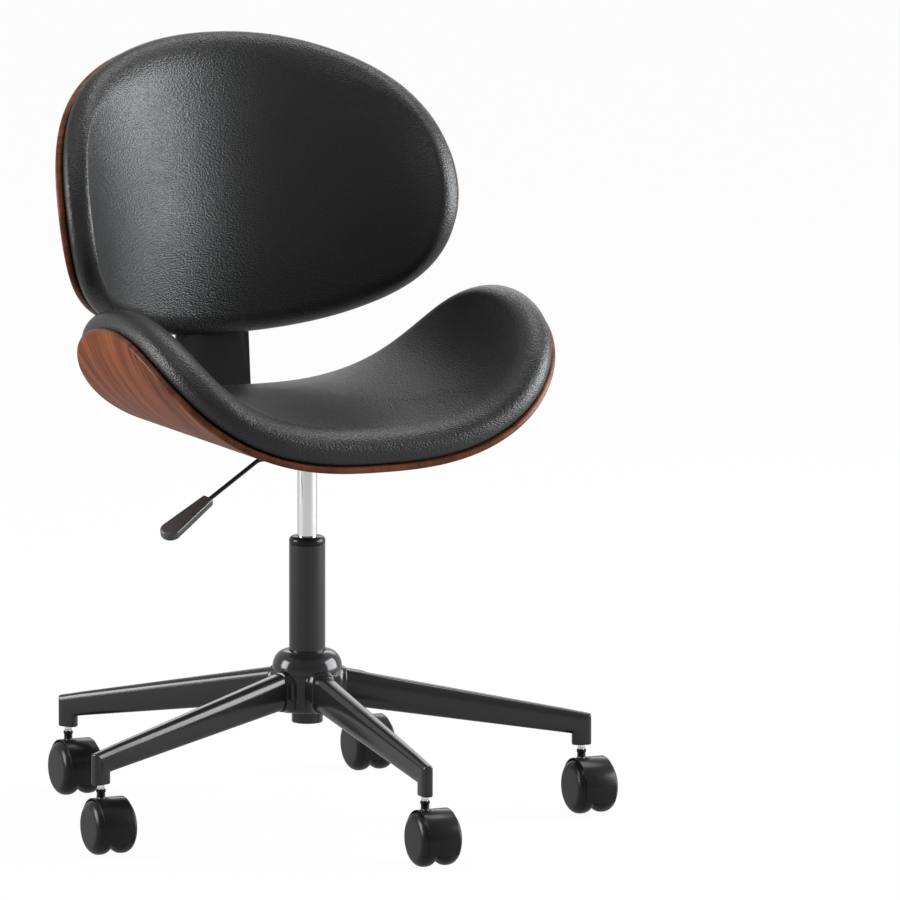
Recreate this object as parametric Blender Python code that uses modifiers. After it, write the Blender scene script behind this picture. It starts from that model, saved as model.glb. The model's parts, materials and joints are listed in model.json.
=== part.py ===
"""Swivel office chair: bent-plywood seat and backrest with leather pads, steel
back bracket, gas lift, five-legged base and twin-wheel casters.

Metres, +Z up, the sitter faces -Y.  The origin is on the floor under the middle
of the footprint.  Pieces are placed in the column's own frame, an empty that
stands on the floor on the column's axis.
"""
import math

import bmesh
import bpy
from mathutils import Matrix, Vector

# Clearances
GAP = 0.0003                 # pieces that sit on or beside each other
RUNNING = 0.0002             # radial clearance of a wheel on its axle
PAD_GAP = 0.0008             # shadow gap between plywood and pad

# Place of the column
COLUMN_Y = 0.0385            # column axis behind the middle of the footprint

# Casters
WHEEL_RADIUS = 0.0307
WHEEL_SPACE = 0.0032         # between the two wheels
WHEEL_WIDTH = 0.0230
WHEEL_OUTER_ROUND = 0.0105
WHEEL_INNER_ROUND = 0.0080
WHEEL_BORE_DEPTH = 0.0170
AXLE_RADIUS = 0.0023
CASTER_TRAIL = 0.0210        # stem axis behind the axle
HOOD_CLEARANCE = 0.0006      # hood inside over the tread
HOOD_WALL = 0.0013
HOOD_WIDTH = 0.0290
HOOD_SKIRT_Z = 0.0190        # lower edge of the hood
WEB_THICKNESS = 0.0022       # hood's middle web between the wheels
STEM_BOSS_RADIUS = 0.0054
STEM_BOSS_TOP_Z = 0.0690
STEM_BOSS_ROOT = 0.0120      # boss's lower end above the axle, inside the drum
STEM_RADIUS = 0.0044
STEM_SPIGOT_RADIUS = 0.0034  # lower end, inside the hood's boss
STEM_SPIGOT_LENGTH = 0.0085
STEM_INSERT = 0.0240         # length inside the leg's foot

# Star base
LEG_COUNT = 5
LEG_REACH = 0.3100           # column axis to caster stem
FOOT_LENGTH = 0.0220         # radial size of the foot
FOOT_WIDTH = 0.0130
FOOT_BOTTOM_Z = 0.0740
FOOT_DEPTH = 0.0130          # foot below the arm's underside
ARM_TIP_HEIGHT = 0.0225
ARM_ROOT_WIDTH = 0.0250
ARM_TOP_SLOPE = 0.2032
ARM_UNDER_SLOPE = 0.1477
ARM_ROOT_RADIUS = 0.0240     # where the arm ends inside the hub
SOCKET_LIP = 0.0022          # wall of the hub's mouth around an arm
SOCKET_PROUD = 0.0040        # how far the mouth stands out of the hub
HUB_RADIUS = 0.0395
HUB_BODY_RADIUS = 0.0370
HUB_TOP_Z = 0.1890
HUB_SHOULDER_Z = 0.1718      # widest level of the dome
HUB_SHOULDER_DROP = 0.0160   # from there to where the body is at its own width
HUB_BOTTOM_Z = 0.1205
HUB_BOTTOM_ROUND = 0.0070
HUB_COUNTERBORE = 0.0040
STUB_RADIUS = 0.0175
STUB_LENGTH = 0.0138
STUB_CHAMFER = 0.0008
MOUTH_ROOT = 0.0040          # the mouths' inner ends outside the shank

# Column
TUBE_RADIUS = 0.02035
TUBE_WALL = 0.0020
TUBE_TOP_Z = 0.3090
SHANK_RADIUS = 0.0153        # tube inside the hub
SHANK_WALL = 0.0020
TUBE_FLOOR = 0.0030
TUBE_STEP = 0.0040           # height of the bore's slope between the two widths
SHANK_RISE = 0.0036          # tube's end above the stub's end
CAP_HEIGHT = 0.0085
CAP_SKIRT = 0.0240
CAP_ROUND = 0.0050
BEARING_HEIGHT = 0.0070
BEARING_RADIUS = 0.0110
ROD_RADIUS = 0.0050
ROD_SHOULDER_RADIUS = 0.0085
ROD_SHOULDER_HEIGHT = 0.0030
ROD_TAIL = 0.0040            # rod below the tube's floor
PISTON_RADIUS = 0.0087
PISTON_HEIGHT = 0.0100
PISTON_TOP_Z = 0.2600
CLIP_RADIUS = 0.0090
CLIP_THICKNESS = 0.0012
CYLINDER_RADIUS = 0.0111
CYLINDER_BORE = 0.0092
CYLINDER_LENGTH = 0.1970
CYLINDER_END = 0.0080
BUTTON_RADIUS = 0.0030
BUTTON_LENGTH = 0.0140
BUTTON_PROUD = 0.0017

# Seat shell: a flat blank of plywood bent up at both sides
SEAT_Z = 0.4262              # upper face at the middle
SEAT_Y = -0.0240             # middle of the blank, from the column
SEAT_HALF_ARC = 0.3135       # half the blank's width, along the bend
SEAT_HALF_DEPTH = 0.1779
SEAT_ARC_POWER = 3.45
SEAT_DEPTH_POWER = 2.08
SEAT_WING_ANGLE = math.radians(78.1)
SEAT_BEND_POWER = 1.585
PLY_THICKNESS = 0.0080
PLY_EDGE_ROUND = 0.0022

# Backrest shell
BACK_Z = 0.6827              # middle of the blank
BACK_Y = 0.2635
BACK_LEAN = math.radians(5.3)
BACK_HALF_ARC = 0.2900
BACK_HALF_HEIGHT = 0.1661
BACK_ARC_POWER = 2.10
BACK_HEIGHT_POWER = 2.08
BACK_CURVE_RADIUS = 0.2791   # at mid height
BACK_CURVE_FLARE = 0.1554    # gain of that radius per metre of height
BACK_TAPER = 0.1090          # narrower at the top, wider at the bottom

# Pads
PAD_INSET = 0.0030           # pad's foot inside the plywood's rim
SEAT_PAD_EDGE = 0.0400
SEAT_PAD_CROWN = 0.0460
SEAT_PAD_BULGE = 0.0050
SEAT_PAD_ROUND = 0.0440
BACK_PAD_EDGE = 0.0330
BACK_PAD_CROWN = 0.0390
BACK_PAD_BULGE = 0.0040
BACK_PAD_ROUND = 0.0260
PAD_WAIST = 0.45             # level of the widest line, share of the edge

# Bracket and seat plate
BRACKET_WIDTH = 0.0900
BRACKET_THICKNESS = 0.0045
BRACKET_BEND = 0.0250        # inside radius
BRACKET_TOP = 0.0745         # plate's top edge below the backrest's middle
BRACKET_CHAMFER = 0.0110
BRACKET_FRONT_Y = -0.0640    # front end of the leg under the seat
BOLT_SPACING_X = 0.0580
BOLT_SPACING_Z = 0.0550
BOLT_TOP = 0.0880            # upper bolts below the backrest's middle
BOLT_RADIUS = 0.0030
BOLT_HOLE = 0.0033
BOLT_HEAD_RADIUS = 0.0060
BOLT_HEAD_HEIGHT = 0.0034
BOLT_SOCKET_RADIUS = 0.0023
BOLT_SOCKET_DEPTH = 0.0018
BOLT_END = 0.0010            # screws and bolts end this far under the plywood's face
PLATE_WIDTH = 0.1120
PLATE_DEPTH = 0.1160
PLATE_THICKNESS = 0.0030
PLATE_CORNER = 0.0120
SCREW_X = 0.0320
SCREW_Y = 0.0450
COLLAR_RADIUS = 0.01435
COLLAR_HEIGHT = 0.0151
COLLAR_SEAT = 0.0078         # cylinder inside the collar
COLLAR_LEDGE = 0.0016        # narrower bore above the cylinder's top

# Height lever, on the sitter's right
LEVER_PIVOT = 0.0240         # column axis to pivot
LEVER_ROD_RADIUS = 0.0026
LEVER_INNER = 0.0030         # rod's end past the column axis
LEVER_FALL = math.radians(33.8)
LEVER_BEND_X = 0.0594        # column axis to where the rod turns down
LEVER_BEND_ROUND = 0.0140
LEVER_ROD_FALL = 0.0737      # sloping length of the rod to the handle
HANDLE_SWING = math.radians(23.1)   # handle's turn to the front
HANDLE_DIP = math.radians(24.1)     # handle's fall
HANDLE_LENGTH = 0.0800
HANDLE_ROOT_WIDTH = 0.0135
HANDLE_WIDTH = 0.0235
HANDLE_THICKNESS = 0.0090
HANDLE_TWIST = math.radians(9.0)
HANDLE_BEND_ROUND = 0.0060   # rod's bend at the handle
HANDLE_SOCKET = 0.0120       # rod inside the handle
PIVOT_RADIUS = 0.0012
EAR_THICKNESS = 0.0020
EAR_LENGTH = 0.0080
EAR_DROP = 0.0030            # ears below the pivot
EAR_CLEARANCE = 0.0002       # ears outside the slot's sides
LEVER_SLOT = 0.0090          # width of the slots that the rod moves in

# Levels that follow from the sizes above
SEAT_UNDER_Z = SEAT_Z - PLY_THICKNESS
BRACKET_LEG_Z = SEAT_UNDER_Z - GAP - BRACKET_THICKNESS
PLATE_Z = BRACKET_LEG_Z - GAP - PLATE_THICKNESS
COLLAR_Z = PLATE_Z - COLLAR_HEIGHT
CYLINDER_TOP_Z = COLLAR_Z + COLLAR_SEAT
BUTTON_TOP_Z = CYLINDER_TOP_Z + BUTTON_PROUD
LEVER_Z = BUTTON_TOP_Z + GAP + LEVER_ROD_RADIUS
CAP_TOP_Z = TUBE_TOP_Z + GAP + CAP_HEIGHT
HUB_SEAT_Z = HUB_TOP_Z - HUB_COUNTERBORE
STUB_Z = HUB_BOTTOM_Z - STUB_LENGTH
TUBE_END_Z = STUB_Z + SHANK_RISE
TUBE_FLOOR_Z = TUBE_END_Z + TUBE_FLOOR
ARM_TIP_RADIUS = LEG_REACH + FOOT_LENGTH / 2
ARM_HEEL_RADIUS = LEG_REACH - FOOT_LENGTH / 2
ARM_HEEL_Z = FOOT_BOTTOM_Z + FOOT_DEPTH
ARM_TIP_Z = ARM_HEEL_Z + ARM_TIP_HEIGHT

PARTS = None
CUTTERS = None
FRAME = None


def start_scene():
    """Empty the file and make the two collections and the column's frame."""
    global PARTS, CUTTERS, FRAME
    for item in list(bpy.data.objects):
        bpy.data.objects.remove(item)
    for mesh in list(bpy.data.meshes):
        bpy.data.meshes.remove(mesh)
    PARTS = bpy.data.collections.new("office_chair")
    CUTTERS = bpy.data.collections.new("office_chair_cutters")
    bpy.context.scene.collection.children.link(PARTS)
    bpy.context.scene.collection.children.link(CUTTERS)
    FRAME = bpy.data.objects.new("column_frame", None)
    FRAME.location = (0.0, COLUMN_Y, 0.0)
    FRAME.empty_display_size = 0.05
    PARTS.objects.link(FRAME)


def make_material(name, color, roughness, metallic=0.0):
    """A Principled material with the part's colour."""
    material = bpy.data.materials.new(name)
    material.use_nodes = True
    shader = material.node_tree.nodes["Principled BSDF"]
    shader.inputs["Base Color"].default_value = (*color, 1.0)
    shader.inputs["Roughness"].default_value = roughness
    shader.inputs["Metallic"].default_value = metallic
    material.diffuse_color = (*color, 1.0)
    return material


def make_pivot(name, location, yaw=0.0, parent=None):
    """An empty on a joint's axis."""
    pivot = bpy.data.objects.new(name, None)
    pivot.empty_display_size = 0.02
    pivot.location = location
    pivot.rotation_euler = (0.0, 0.0, yaw)
    pivot.parent = parent or FRAME
    PARTS.objects.link(pivot)
    return pivot


def add_object(name, mesh, material=None, parent=None):
    """A named sub-part that carries the mesh."""
    item = bpy.data.objects.new(name, mesh)
    if material and not mesh.materials:
        mesh.materials.append(material)
    item.parent = parent or FRAME
    PARTS.objects.link(item)
    return item


def add_cutter(name, mesh, parent=None):
    """A hidden helper for a Boolean."""
    item = bpy.data.objects.new(name, mesh)
    item.parent = parent or FRAME
    item.hide_render = True
    item.display_type = 'WIRE'
    CUTTERS.objects.link(item)
    return item


def mesh_from(bm, name, sharp=math.radians(38.0)):
    """Turn a bmesh into a mesh, shaded smooth except at its real edges."""
    bmesh.ops.recalc_face_normals(bm, faces=bm.faces)
    mesh = bpy.data.meshes.new(name)
    bm.to_mesh(mesh)
    bm.free()
    mesh.shade_smooth()
    mesh.set_sharp_from_angle(angle=sharp)
    return mesh


def boolean(item, cutter, operation='DIFFERENCE'):
    """An exact Boolean with a helper object."""
    modifier = item.modifiers.new(cutter.name, 'BOOLEAN')
    modifier.operation = operation
    modifier.object = cutter
    modifier.solver = 'EXACT'
    return modifier


def baked_mesh(item, name, sharp=math.radians(38.0)):
    """The mesh that the item's modifiers give; the item goes away."""
    bpy.context.view_layer.update()
    graph = bpy.context.evaluated_depsgraph_get()
    mesh = bpy.data.meshes.new_from_object(item.evaluated_get(graph))
    bm = bmesh.new()
    bm.from_mesh(mesh)
    bmesh.ops.remove_doubles(bm, verts=bm.verts, dist=0.000002)
    bm.to_mesh(mesh)
    bm.free()
    mesh.name = name
    mesh.shade_smooth()
    mesh.set_sharp_from_angle(angle=sharp)
    bpy.data.objects.remove(item)
    return mesh


def profile_mesh(name, points, closed):
    """An outline of (radius, level) points for a Screw modifier."""
    bm = bmesh.new()
    verts = [bm.verts.new((radius, 0.0, level)) for radius, level in points]
    for first, second in zip(verts, verts[1:]):
        bm.edges.new((first, second))
    if closed:
        bm.edges.new((verts[-1], verts[0]))
    mesh = bpy.data.meshes.new(name)
    bm.to_mesh(mesh)
    bm.free()
    return mesh


def turn(item, steps):
    """Screw the item's profile once round its Z axis."""
    modifier = item.modifiers.new("turned", 'SCREW')
    modifier.axis = 'Z'
    modifier.angle = math.tau
    modifier.steps = steps
    modifier.render_steps = steps
    modifier.use_merge_vertices = True
    modifier.merge_threshold = 0.00001
    modifier.use_smooth_shade = True
    return modifier


def turned_mesh(name, points, steps, closed=False):
    """A turned solid as a mesh, ready to be shared."""
    item = add_object(name, profile_mesh(name, points, closed))
    turn(item, steps)
    return baked_mesh(item, name)


def turned(name, points, steps, material, closed=False, parent=None):
    """A turned sub-part."""
    return add_object(name, turned_mesh(name, points, steps, closed), material, parent)


def arc(centre, radius, start, end, count):
    """Points of an arc in the profile's plane, angles from +radius."""
    points = []
    for index in range(count + 1):
        angle = start + (end - start) * index / count
        points.append((centre[0] + radius * math.cos(angle),
                       centre[1] + radius * math.sin(angle)))
    return points


def cylinder_mesh(name, radius, low, high, steps):
    """An upright round bar between two levels."""
    bm = bmesh.new()
    bmesh.ops.create_cone(bm, cap_ends=True, segments=steps, radius1=radius,
                          radius2=radius, depth=high - low)
    bmesh.ops.translate(bm, verts=bm.verts, vec=(0.0, 0.0, (low + high) / 2))
    return mesh_from(bm, name)


def box_mesh(name, low, high, bevel=0.0, upright=0.0, segments=2):
    """A box between two corners, its edges or its upright edges rounded."""
    bm = bmesh.new()
    bmesh.ops.create_cube(bm, size=1.0)
    for vert in bm.verts:
        for axis in range(3):
            middle = (low[axis] + high[axis]) / 2
            vert.co[axis] = middle + vert.co[axis] * (high[axis] - low[axis])
    if upright:
        edges = [edge for edge in bm.edges
                 if abs((edge.verts[0].co - edge.verts[1].co).normalized().z) > 0.9]
        bmesh.ops.bevel(bm, geom=edges, offset=upright, segments=4, affect='EDGES',
                        profile=0.5)
    if bevel:
        bmesh.ops.bevel(bm, geom=list(bm.edges), offset=bevel, segments=segments,
                        affect='EDGES', profile=0.5)
    return mesh_from(bm, name)


def loft_mesh(name, sections):
    """A skin through rings of equal count, capped at both ends."""
    bm = bmesh.new()
    rings = [[bm.verts.new(point) for point in section] for section in sections]
    count = len(rings[0])
    for near, far in zip(rings, rings[1:]):
        for index in range(count):
            after = (index + 1) % count
            bm.faces.new((near[index], near[after], far[after], far[index]))
    bm.faces.new(rings[0][::-1])
    bm.faces.new(rings[-1])
    return mesh_from(bm, name)


# Star base

def arm_levels(radius):
    """Underside and top of an arm at a distance from the column."""
    under = ARM_HEEL_Z + (ARM_HEEL_RADIUS - radius) * ARM_UNDER_SLOPE
    top = ARM_TIP_Z + (ARM_TIP_RADIUS - radius) * ARM_TOP_SLOPE
    return under, top


def arm_width(radius):
    """Width of an arm, tapering from the hub to the tip."""
    share = (ARM_TIP_RADIUS - radius) / (ARM_TIP_RADIUS - HUB_RADIUS)
    return FOOT_WIDTH + (ARM_ROOT_WIDTH - FOOT_WIDTH) * share


def arm_section(outer, inner, width, grow=0.0, count=12, power=3.2):
    """A rounded section between an outer and an inner point of the arm's side view."""
    outer, inner = Vector(outer), Vector(inner)
    middle = (outer + inner) / 2
    half = (outer - inner) / 2
    half = half * (1.0 + grow / half.length)
    points = []
    for index in range(count):
        angle = math.tau * (index + 0.5) / count
        cosine, sine = math.cos(angle), math.sin(angle)
        up = math.copysign(abs(cosine) ** (2 / power), cosine)
        side = math.copysign(abs(sine) ** (2 / power), sine)
        spot = middle + half * up
        points.append((spot.x, (width / 2 + grow) * side, spot.y))
    return points


def arm_station(radius, grow=0.0):
    """An upright section of the arm."""
    under, top = arm_levels(radius)
    return arm_section((radius, top), (radius, under), arm_width(radius), grow)


def leg_mesh():
    """Tapered arm that turns down into the caster's foot, with the stem socket."""
    sections = [arm_station(ARM_ROOT_RADIUS)]
    for share in (0.08, 0.30, 0.60, 0.92):
        span = ARM_HEEL_RADIUS - ARM_ROOT_RADIUS
        sections.append(arm_station(ARM_ROOT_RADIUS + span * share))
    ease = 0.0020
    tip_level = arm_levels(ARM_TIP_RADIUS)[1]
    sections.append(arm_section((ARM_TIP_RADIUS - ease, tip_level),
                                (ARM_HEEL_RADIUS - ease / 2, ARM_HEEL_Z),
                                FOOT_WIDTH))
    sections.append(arm_section((ARM_TIP_RADIUS, tip_level - ease),
                                (ARM_HEEL_RADIUS, ARM_HEEL_Z - ease / 2),
                                FOOT_WIDTH))
    chamfer = 0.0008
    sections.append(arm_section((ARM_TIP_RADIUS, FOOT_BOTTOM_Z + chamfer),
                                (ARM_HEEL_RADIUS, FOOT_BOTTOM_Z + chamfer),
                                FOOT_WIDTH))
    sections.append(arm_section((ARM_TIP_RADIUS, FOOT_BOTTOM_Z),
                                (ARM_HEEL_RADIUS, FOOT_BOTTOM_Z),
                                FOOT_WIDTH, grow=-chamfer))
    item = add_object("leg", loft_mesh("leg", sections))
    socket = add_cutter("stem_socket", cylinder_mesh(
        "stem_socket", STEM_RADIUS + GAP, FOOT_BOTTOM_Z - 0.005,
        FOOT_BOTTOM_Z + STEM_INSERT + GAP, 16))
    socket.location = (LEG_REACH, 0.0, 0.0)
    boolean(item, socket)
    return baked_mesh(item, "leg")


def leg_yaw(index):
    """Direction of a leg; the first one points forward."""
    return math.radians(270.0) + math.tau * index / LEG_COUNT


def hub_object(material):
    """Domed hub with a mouth for each arm, bored for the column."""
    dome = HUB_TOP_Z - HUB_SHOULDER_Z
    crown = HUB_RADIUS - dome
    mouth = TUBE_RADIUS + GAP
    shank = SHANK_RADIUS + GAP
    points = [(mouth, HUB_TOP_Z)]
    points += arc((crown, HUB_SHOULDER_Z), dome, math.pi / 2, 0.0, 5)
    points += [(HUB_BODY_RADIUS, HUB_SHOULDER_Z - HUB_SHOULDER_DROP)]
    points += arc((HUB_BODY_RADIUS - HUB_BOTTOM_ROUND, HUB_BOTTOM_Z + HUB_BOTTOM_ROUND),
                  HUB_BOTTOM_ROUND, 0.0, -math.pi / 2, 3)
    points += [(STUB_RADIUS, HUB_BOTTOM_Z), (STUB_RADIUS, STUB_Z + STUB_CHAMFER),
               (STUB_RADIUS - STUB_CHAMFER, STUB_Z), (shank, STUB_Z)]
    points += [(shank, HUB_SEAT_Z), (mouth, HUB_SEAT_Z)]
    hub = add_object("base_hub", turned_mesh("base_hub", points, 28, closed=True), material)
    far = HUB_RADIUS + SOCKET_PROUD
    near = ARM_ROOT_RADIUS - GAP
    inner = SHANK_RADIUS + MOUTH_ROOT
    soft = 0.0012
    mouth_mesh = loft_mesh("arm_mouth", [
        arm_station(inner, SOCKET_LIP), arm_station(far - soft, SOCKET_LIP),
        arm_station(far, SOCKET_LIP - soft)])
    pocket_mesh = loft_mesh("arm_pocket", [
        arm_station(near, GAP), arm_station(far + 0.010, GAP)])
    for index in range(LEG_COUNT):
        mouth_item = add_cutter(f"arm_mouth_{index + 1}", mouth_mesh)
        mouth_item.rotation_euler.z = leg_yaw(index)
        boolean(hub, mouth_item, 'UNION')
    for index in range(LEG_COUNT):
        pocket = add_cutter(f"arm_pocket_{index + 1}", pocket_mesh)
        pocket.rotation_euler.z = leg_yaw(index)
        boolean(hub, pocket)
    return hub


def build_base(paint):
    """Hub and legs."""
    hub_object(paint)
    mesh = leg_mesh()
    for index in range(LEG_COUNT):
        leg = add_object(f"leg_{index + 1}", mesh, paint)
        leg.rotation_euler.z = leg_yaw(index)


# Column and gas lift

def build_column(paint, plastic, steel, chrome):
    """Outer tube, guide cap, bearing, rod, clip, cylinder and release button."""
    outer, inner = TUBE_RADIUS, TUBE_RADIUS - TUBE_WALL
    shank, bore = SHANK_RADIUS, SHANK_RADIUS - SHANK_WALL
    shoulder = HUB_SEAT_Z + GAP
    turned("column_tube", [
        (inner, TUBE_TOP_Z), (outer, TUBE_TOP_Z), (outer, shoulder), (shank, shoulder),
        (shank, TUBE_END_Z + 0.0005), (shank - 0.0005, TUBE_END_Z),
        (ROD_RADIUS + 2 * GAP, TUBE_END_Z), (ROD_RADIUS + 2 * GAP, TUBE_FLOOR_Z),
        (bore, TUBE_FLOOR_Z), (bore, shoulder + TUBE_WALL), (inner, shoulder + TUBE_WALL + TUBE_STEP),
    ], 24, paint, closed=True)

    low = TUBE_TOP_Z + GAP
    guide = CYLINDER_RADIUS + RUNNING
    skirt = inner - GAP
    points = [(guide, CAP_TOP_Z)]
    points += arc((outer - CAP_ROUND, CAP_TOP_Z - CAP_ROUND), CAP_ROUND, math.pi / 2, 0.0, 3)
    points += [(outer, low + 0.0004), (outer - 0.0006, low), (skirt, low),
               (skirt, low - CAP_SKIRT), (guide, low - CAP_SKIRT)]
    turned("column_cap", points, 24, plastic, closed=True)

    bearing_z = TUBE_FLOOR_Z + GAP
    bearing_top = bearing_z + BEARING_HEIGHT
    hole = ROD_RADIUS + GAP
    waist = 0.0012
    turned("thrust_bearing", [
        (hole, bearing_top), (BEARING_RADIUS, bearing_top),
        (BEARING_RADIUS, bearing_top - BEARING_HEIGHT * 0.3),
        (BEARING_RADIUS - waist, bearing_top - BEARING_HEIGHT * 0.3),
        (BEARING_RADIUS - waist, bearing_z + BEARING_HEIGHT * 0.3),
        (BEARING_RADIUS, bearing_z + BEARING_HEIGHT * 0.3),
        (BEARING_RADIUS, bearing_z), (hole, bearing_z)], 12, steel, closed=True)

    clip_z = TUBE_END_Z - GAP - CLIP_THICKNESS
    groove_top = clip_z + CLIP_THICKNESS + GAP / 2
    groove_low = clip_z - GAP / 2
    groove = ROD_RADIUS - 0.0008
    collar_z = bearing_top + GAP
    turned("piston_rod", [
        (0.0, PISTON_TOP_Z), (PISTON_RADIUS, PISTON_TOP_Z),
        (PISTON_RADIUS, PISTON_TOP_Z - PISTON_HEIGHT), (ROD_RADIUS, PISTON_TOP_Z - PISTON_HEIGHT),
        (ROD_RADIUS, collar_z + ROD_SHOULDER_HEIGHT),
        (ROD_SHOULDER_RADIUS, collar_z + ROD_SHOULDER_HEIGHT),
        (ROD_SHOULDER_RADIUS, collar_z), (ROD_RADIUS, collar_z), (ROD_RADIUS, groove_top),
        (groove, groove_top), (groove, groove_low), (ROD_RADIUS, groove_low),
        (ROD_RADIUS - 0.0005, TUBE_END_Z - ROD_TAIL), (0.0, TUBE_END_Z - ROD_TAIL),
    ], 14, chrome)

    clip = add_object("retaining_clip", turned_mesh("retaining_clip", [
        (groove + GAP, clip_z + CLIP_THICKNESS), (CLIP_RADIUS, clip_z + CLIP_THICKNESS),
        (CLIP_RADIUS, clip_z), (groove + GAP, clip_z)], 16, closed=True), steel)
    mouth = add_cutter("clip_mouth", box_mesh(
        "clip_mouth", (-0.0030, -0.020, clip_z - 0.001),
        (0.0030, 0.0, clip_z + CLIP_THICKNESS + 0.001)))
    boolean(clip, mouth)

    top = CYLINDER_TOP_Z
    end = top - CYLINDER_LENGTH
    edge = 0.0007
    turned("gas_cylinder", [
        (BUTTON_RADIUS + GAP, top), (CYLINDER_RADIUS - edge, top), (CYLINDER_RADIUS, top - edge),
        (CYLINDER_RADIUS, end + edge), (CYLINDER_RADIUS - edge, end), (ROD_RADIUS + GAP, end),
        (ROD_RADIUS + GAP, end + CYLINDER_END), (CYLINDER_BORE, end + CYLINDER_END),
        (CYLINDER_BORE, top - CYLINDER_END), (BUTTON_RADIUS + GAP, top - CYLINDER_END),
    ], 20, chrome, closed=True)
    turned("release_pin", [
        (0.0, BUTTON_TOP_Z), (BUTTON_RADIUS - 0.0005, BUTTON_TOP_Z),
        (BUTTON_RADIUS, BUTTON_TOP_Z - 0.0005), (BUTTON_RADIUS, BUTTON_TOP_Z - BUTTON_LENGTH),
        (0.0, BUTTON_TOP_Z - BUTTON_LENGTH)], 12, steel)


# Casters

def wheel_mesh():
    """One caster wheel, its inner face at level 0, bored for the axle."""
    bore = AXLE_RADIUS + RUNNING
    face = WHEEL_RADIUS - WHEEL_OUTER_ROUND
    back = WHEEL_RADIUS - WHEEL_INNER_ROUND
    points = [(0.0, WHEEL_WIDTH)]
    points += arc((face, WHEEL_WIDTH - WHEEL_OUTER_ROUND), WHEEL_OUTER_ROUND,
                  math.pi / 2, 0.0, 3)
    points += arc((back, WHEEL_INNER_ROUND), WHEEL_INNER_ROUND, 0.0, -math.pi / 2, 1)
    points += [(bore, 0.0), (bore, WHEEL_BORE_DEPTH), (0.0, WHEEL_BORE_DEPTH)]
    return turned_mesh("caster_wheel", points, 18)


def hood_mesh():
    """Drum hood with its middle web and the stem's boss, about the axle."""
    inside = WHEEL_RADIUS + HOOD_CLEARANCE
    outside = inside + HOOD_WALL
    half = HOOD_WIDTH / 2
    soft = 0.0009
    along_x = Matrix.Rotation(math.pi / 2, 4, 'Y')
    drum = turned_mesh("hood_drum", [
        (0.0, half), (outside - soft, half), (outside, half - soft), (outside, soft - half),
        (outside - soft, -half), (0.0, -half)], 24)
    drum.transform(along_x)
    hood = add_object("hood", drum)
    well = cylinder_mesh("wheel_well", inside, WEB_THICKNESS / 2, half + 0.010, 24)
    well.transform(along_x)
    other = well.copy()
    other.transform(Matrix.Rotation(math.pi, 4, 'Z'))
    boss_top = STEM_BOSS_TOP_Z - WHEEL_RADIUS
    boss = add_cutter("stem_boss", turned_mesh("stem_boss", [
        (0.0, boss_top), (STEM_BOSS_RADIUS - 0.0006, boss_top),
        (STEM_BOSS_RADIUS, boss_top - 0.0006), (STEM_BOSS_RADIUS, STEM_BOSS_ROOT),
        (0.0, STEM_BOSS_ROOT)], 12))
    boss.location = (0.0, CASTER_TRAIL, 0.0)
    seat = add_cutter("stem_seat", cylinder_mesh(
        "stem_seat", STEM_SPIGOT_RADIUS + RUNNING,
        boss_top - STEM_SPIGOT_LENGTH, boss_top + 0.010, 12))
    seat.location = (0.0, CASTER_TRAIL, 0.0)
    axle_hole = cylinder_mesh("axle_hole", AXLE_RADIUS + GAP, -0.010, 0.010, 12)
    axle_hole.transform(along_x)
    skirt = box_mesh("skirt_cut", (-0.05, -0.05, -0.06), (0.05, 0.05, HOOD_SKIRT_Z - WHEEL_RADIUS))
    boolean(hood, boss, 'UNION')
    boolean(hood, add_cutter("wheel_well_left", well))
    boolean(hood, add_cutter("wheel_well_right", other))
    boolean(hood, seat)
    boolean(hood, add_cutter("axle_hole", axle_hole))
    boolean(hood, add_cutter("skirt_cut", skirt))
    return baked_mesh(hood, "caster_hood")


def stem_mesh():
    """Plain stem with a thinner spigot in the hood's boss, its boss's top at level 0."""
    ring = 0.0008
    top = FOOT_BOTTOM_Z + STEM_INSERT - STEM_BOSS_TOP_Z
    return turned_mesh("caster_stem", [
        (0.0, top), (STEM_RADIUS - 0.0010, top), (STEM_RADIUS, top - 0.0010),
        (STEM_RADIUS, GAP), (STEM_SPIGOT_RADIUS, GAP),
        (STEM_SPIGOT_RADIUS, GAP - STEM_SPIGOT_LENGTH + ring),
        (STEM_SPIGOT_RADIUS - ring, GAP - STEM_SPIGOT_LENGTH + GAP),
        (0.0, GAP - STEM_SPIGOT_LENGTH + GAP)], 10)


def build_casters(plastic, chrome):
    """Five casters that all trail forward, as the chair was pushed back last."""
    wheel = wheel_mesh()
    hood = hood_mesh()
    stem = stem_mesh()
    reach = WHEEL_SPACE / 2 + WHEEL_BORE_DEPTH - 0.0010
    axle = turned_mesh("caster_axle", [
        (0.0, reach), (AXLE_RADIUS, reach), (AXLE_RADIUS, -reach), (0.0, -reach)], 10)
    axle.transform(Matrix.Rotation(math.pi / 2, 4, 'Y'))
    right = wheel
    right.transform(Matrix.Rotation(math.pi / 2, 4, 'Y'))
    left = right.copy()
    left.transform(Matrix.Rotation(math.pi, 4, 'Z'))
    for index in range(LEG_COUNT):
        number = index + 1
        yaw = leg_yaw(index)
        spot = (LEG_REACH * math.cos(yaw), LEG_REACH * math.sin(yaw), 0.0)
        swivel = make_pivot(f"caster_swivel_{number}", spot)
        post = add_object(f"caster_stem_{number}", stem, chrome)
        post.location = (spot[0], spot[1], STEM_BOSS_TOP_Z)
        centre = (0.0, -CASTER_TRAIL, WHEEL_RADIUS)
        cover = add_object(f"caster_hood_{number}", hood, plastic, swivel)
        cover.location = centre
        bar = add_object(f"caster_axle_{number}", axle, chrome, swivel)
        bar.location = centre
        for side, mesh, sign in (("left", left, -1), ("right", right, 1)):
            disc = add_object(f"wheel_{number}_{side}", mesh, plastic, swivel)
            disc.location = (sign * WHEEL_SPACE / 2, centre[1], centre[2])


# Bent sheets and their pads

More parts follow.
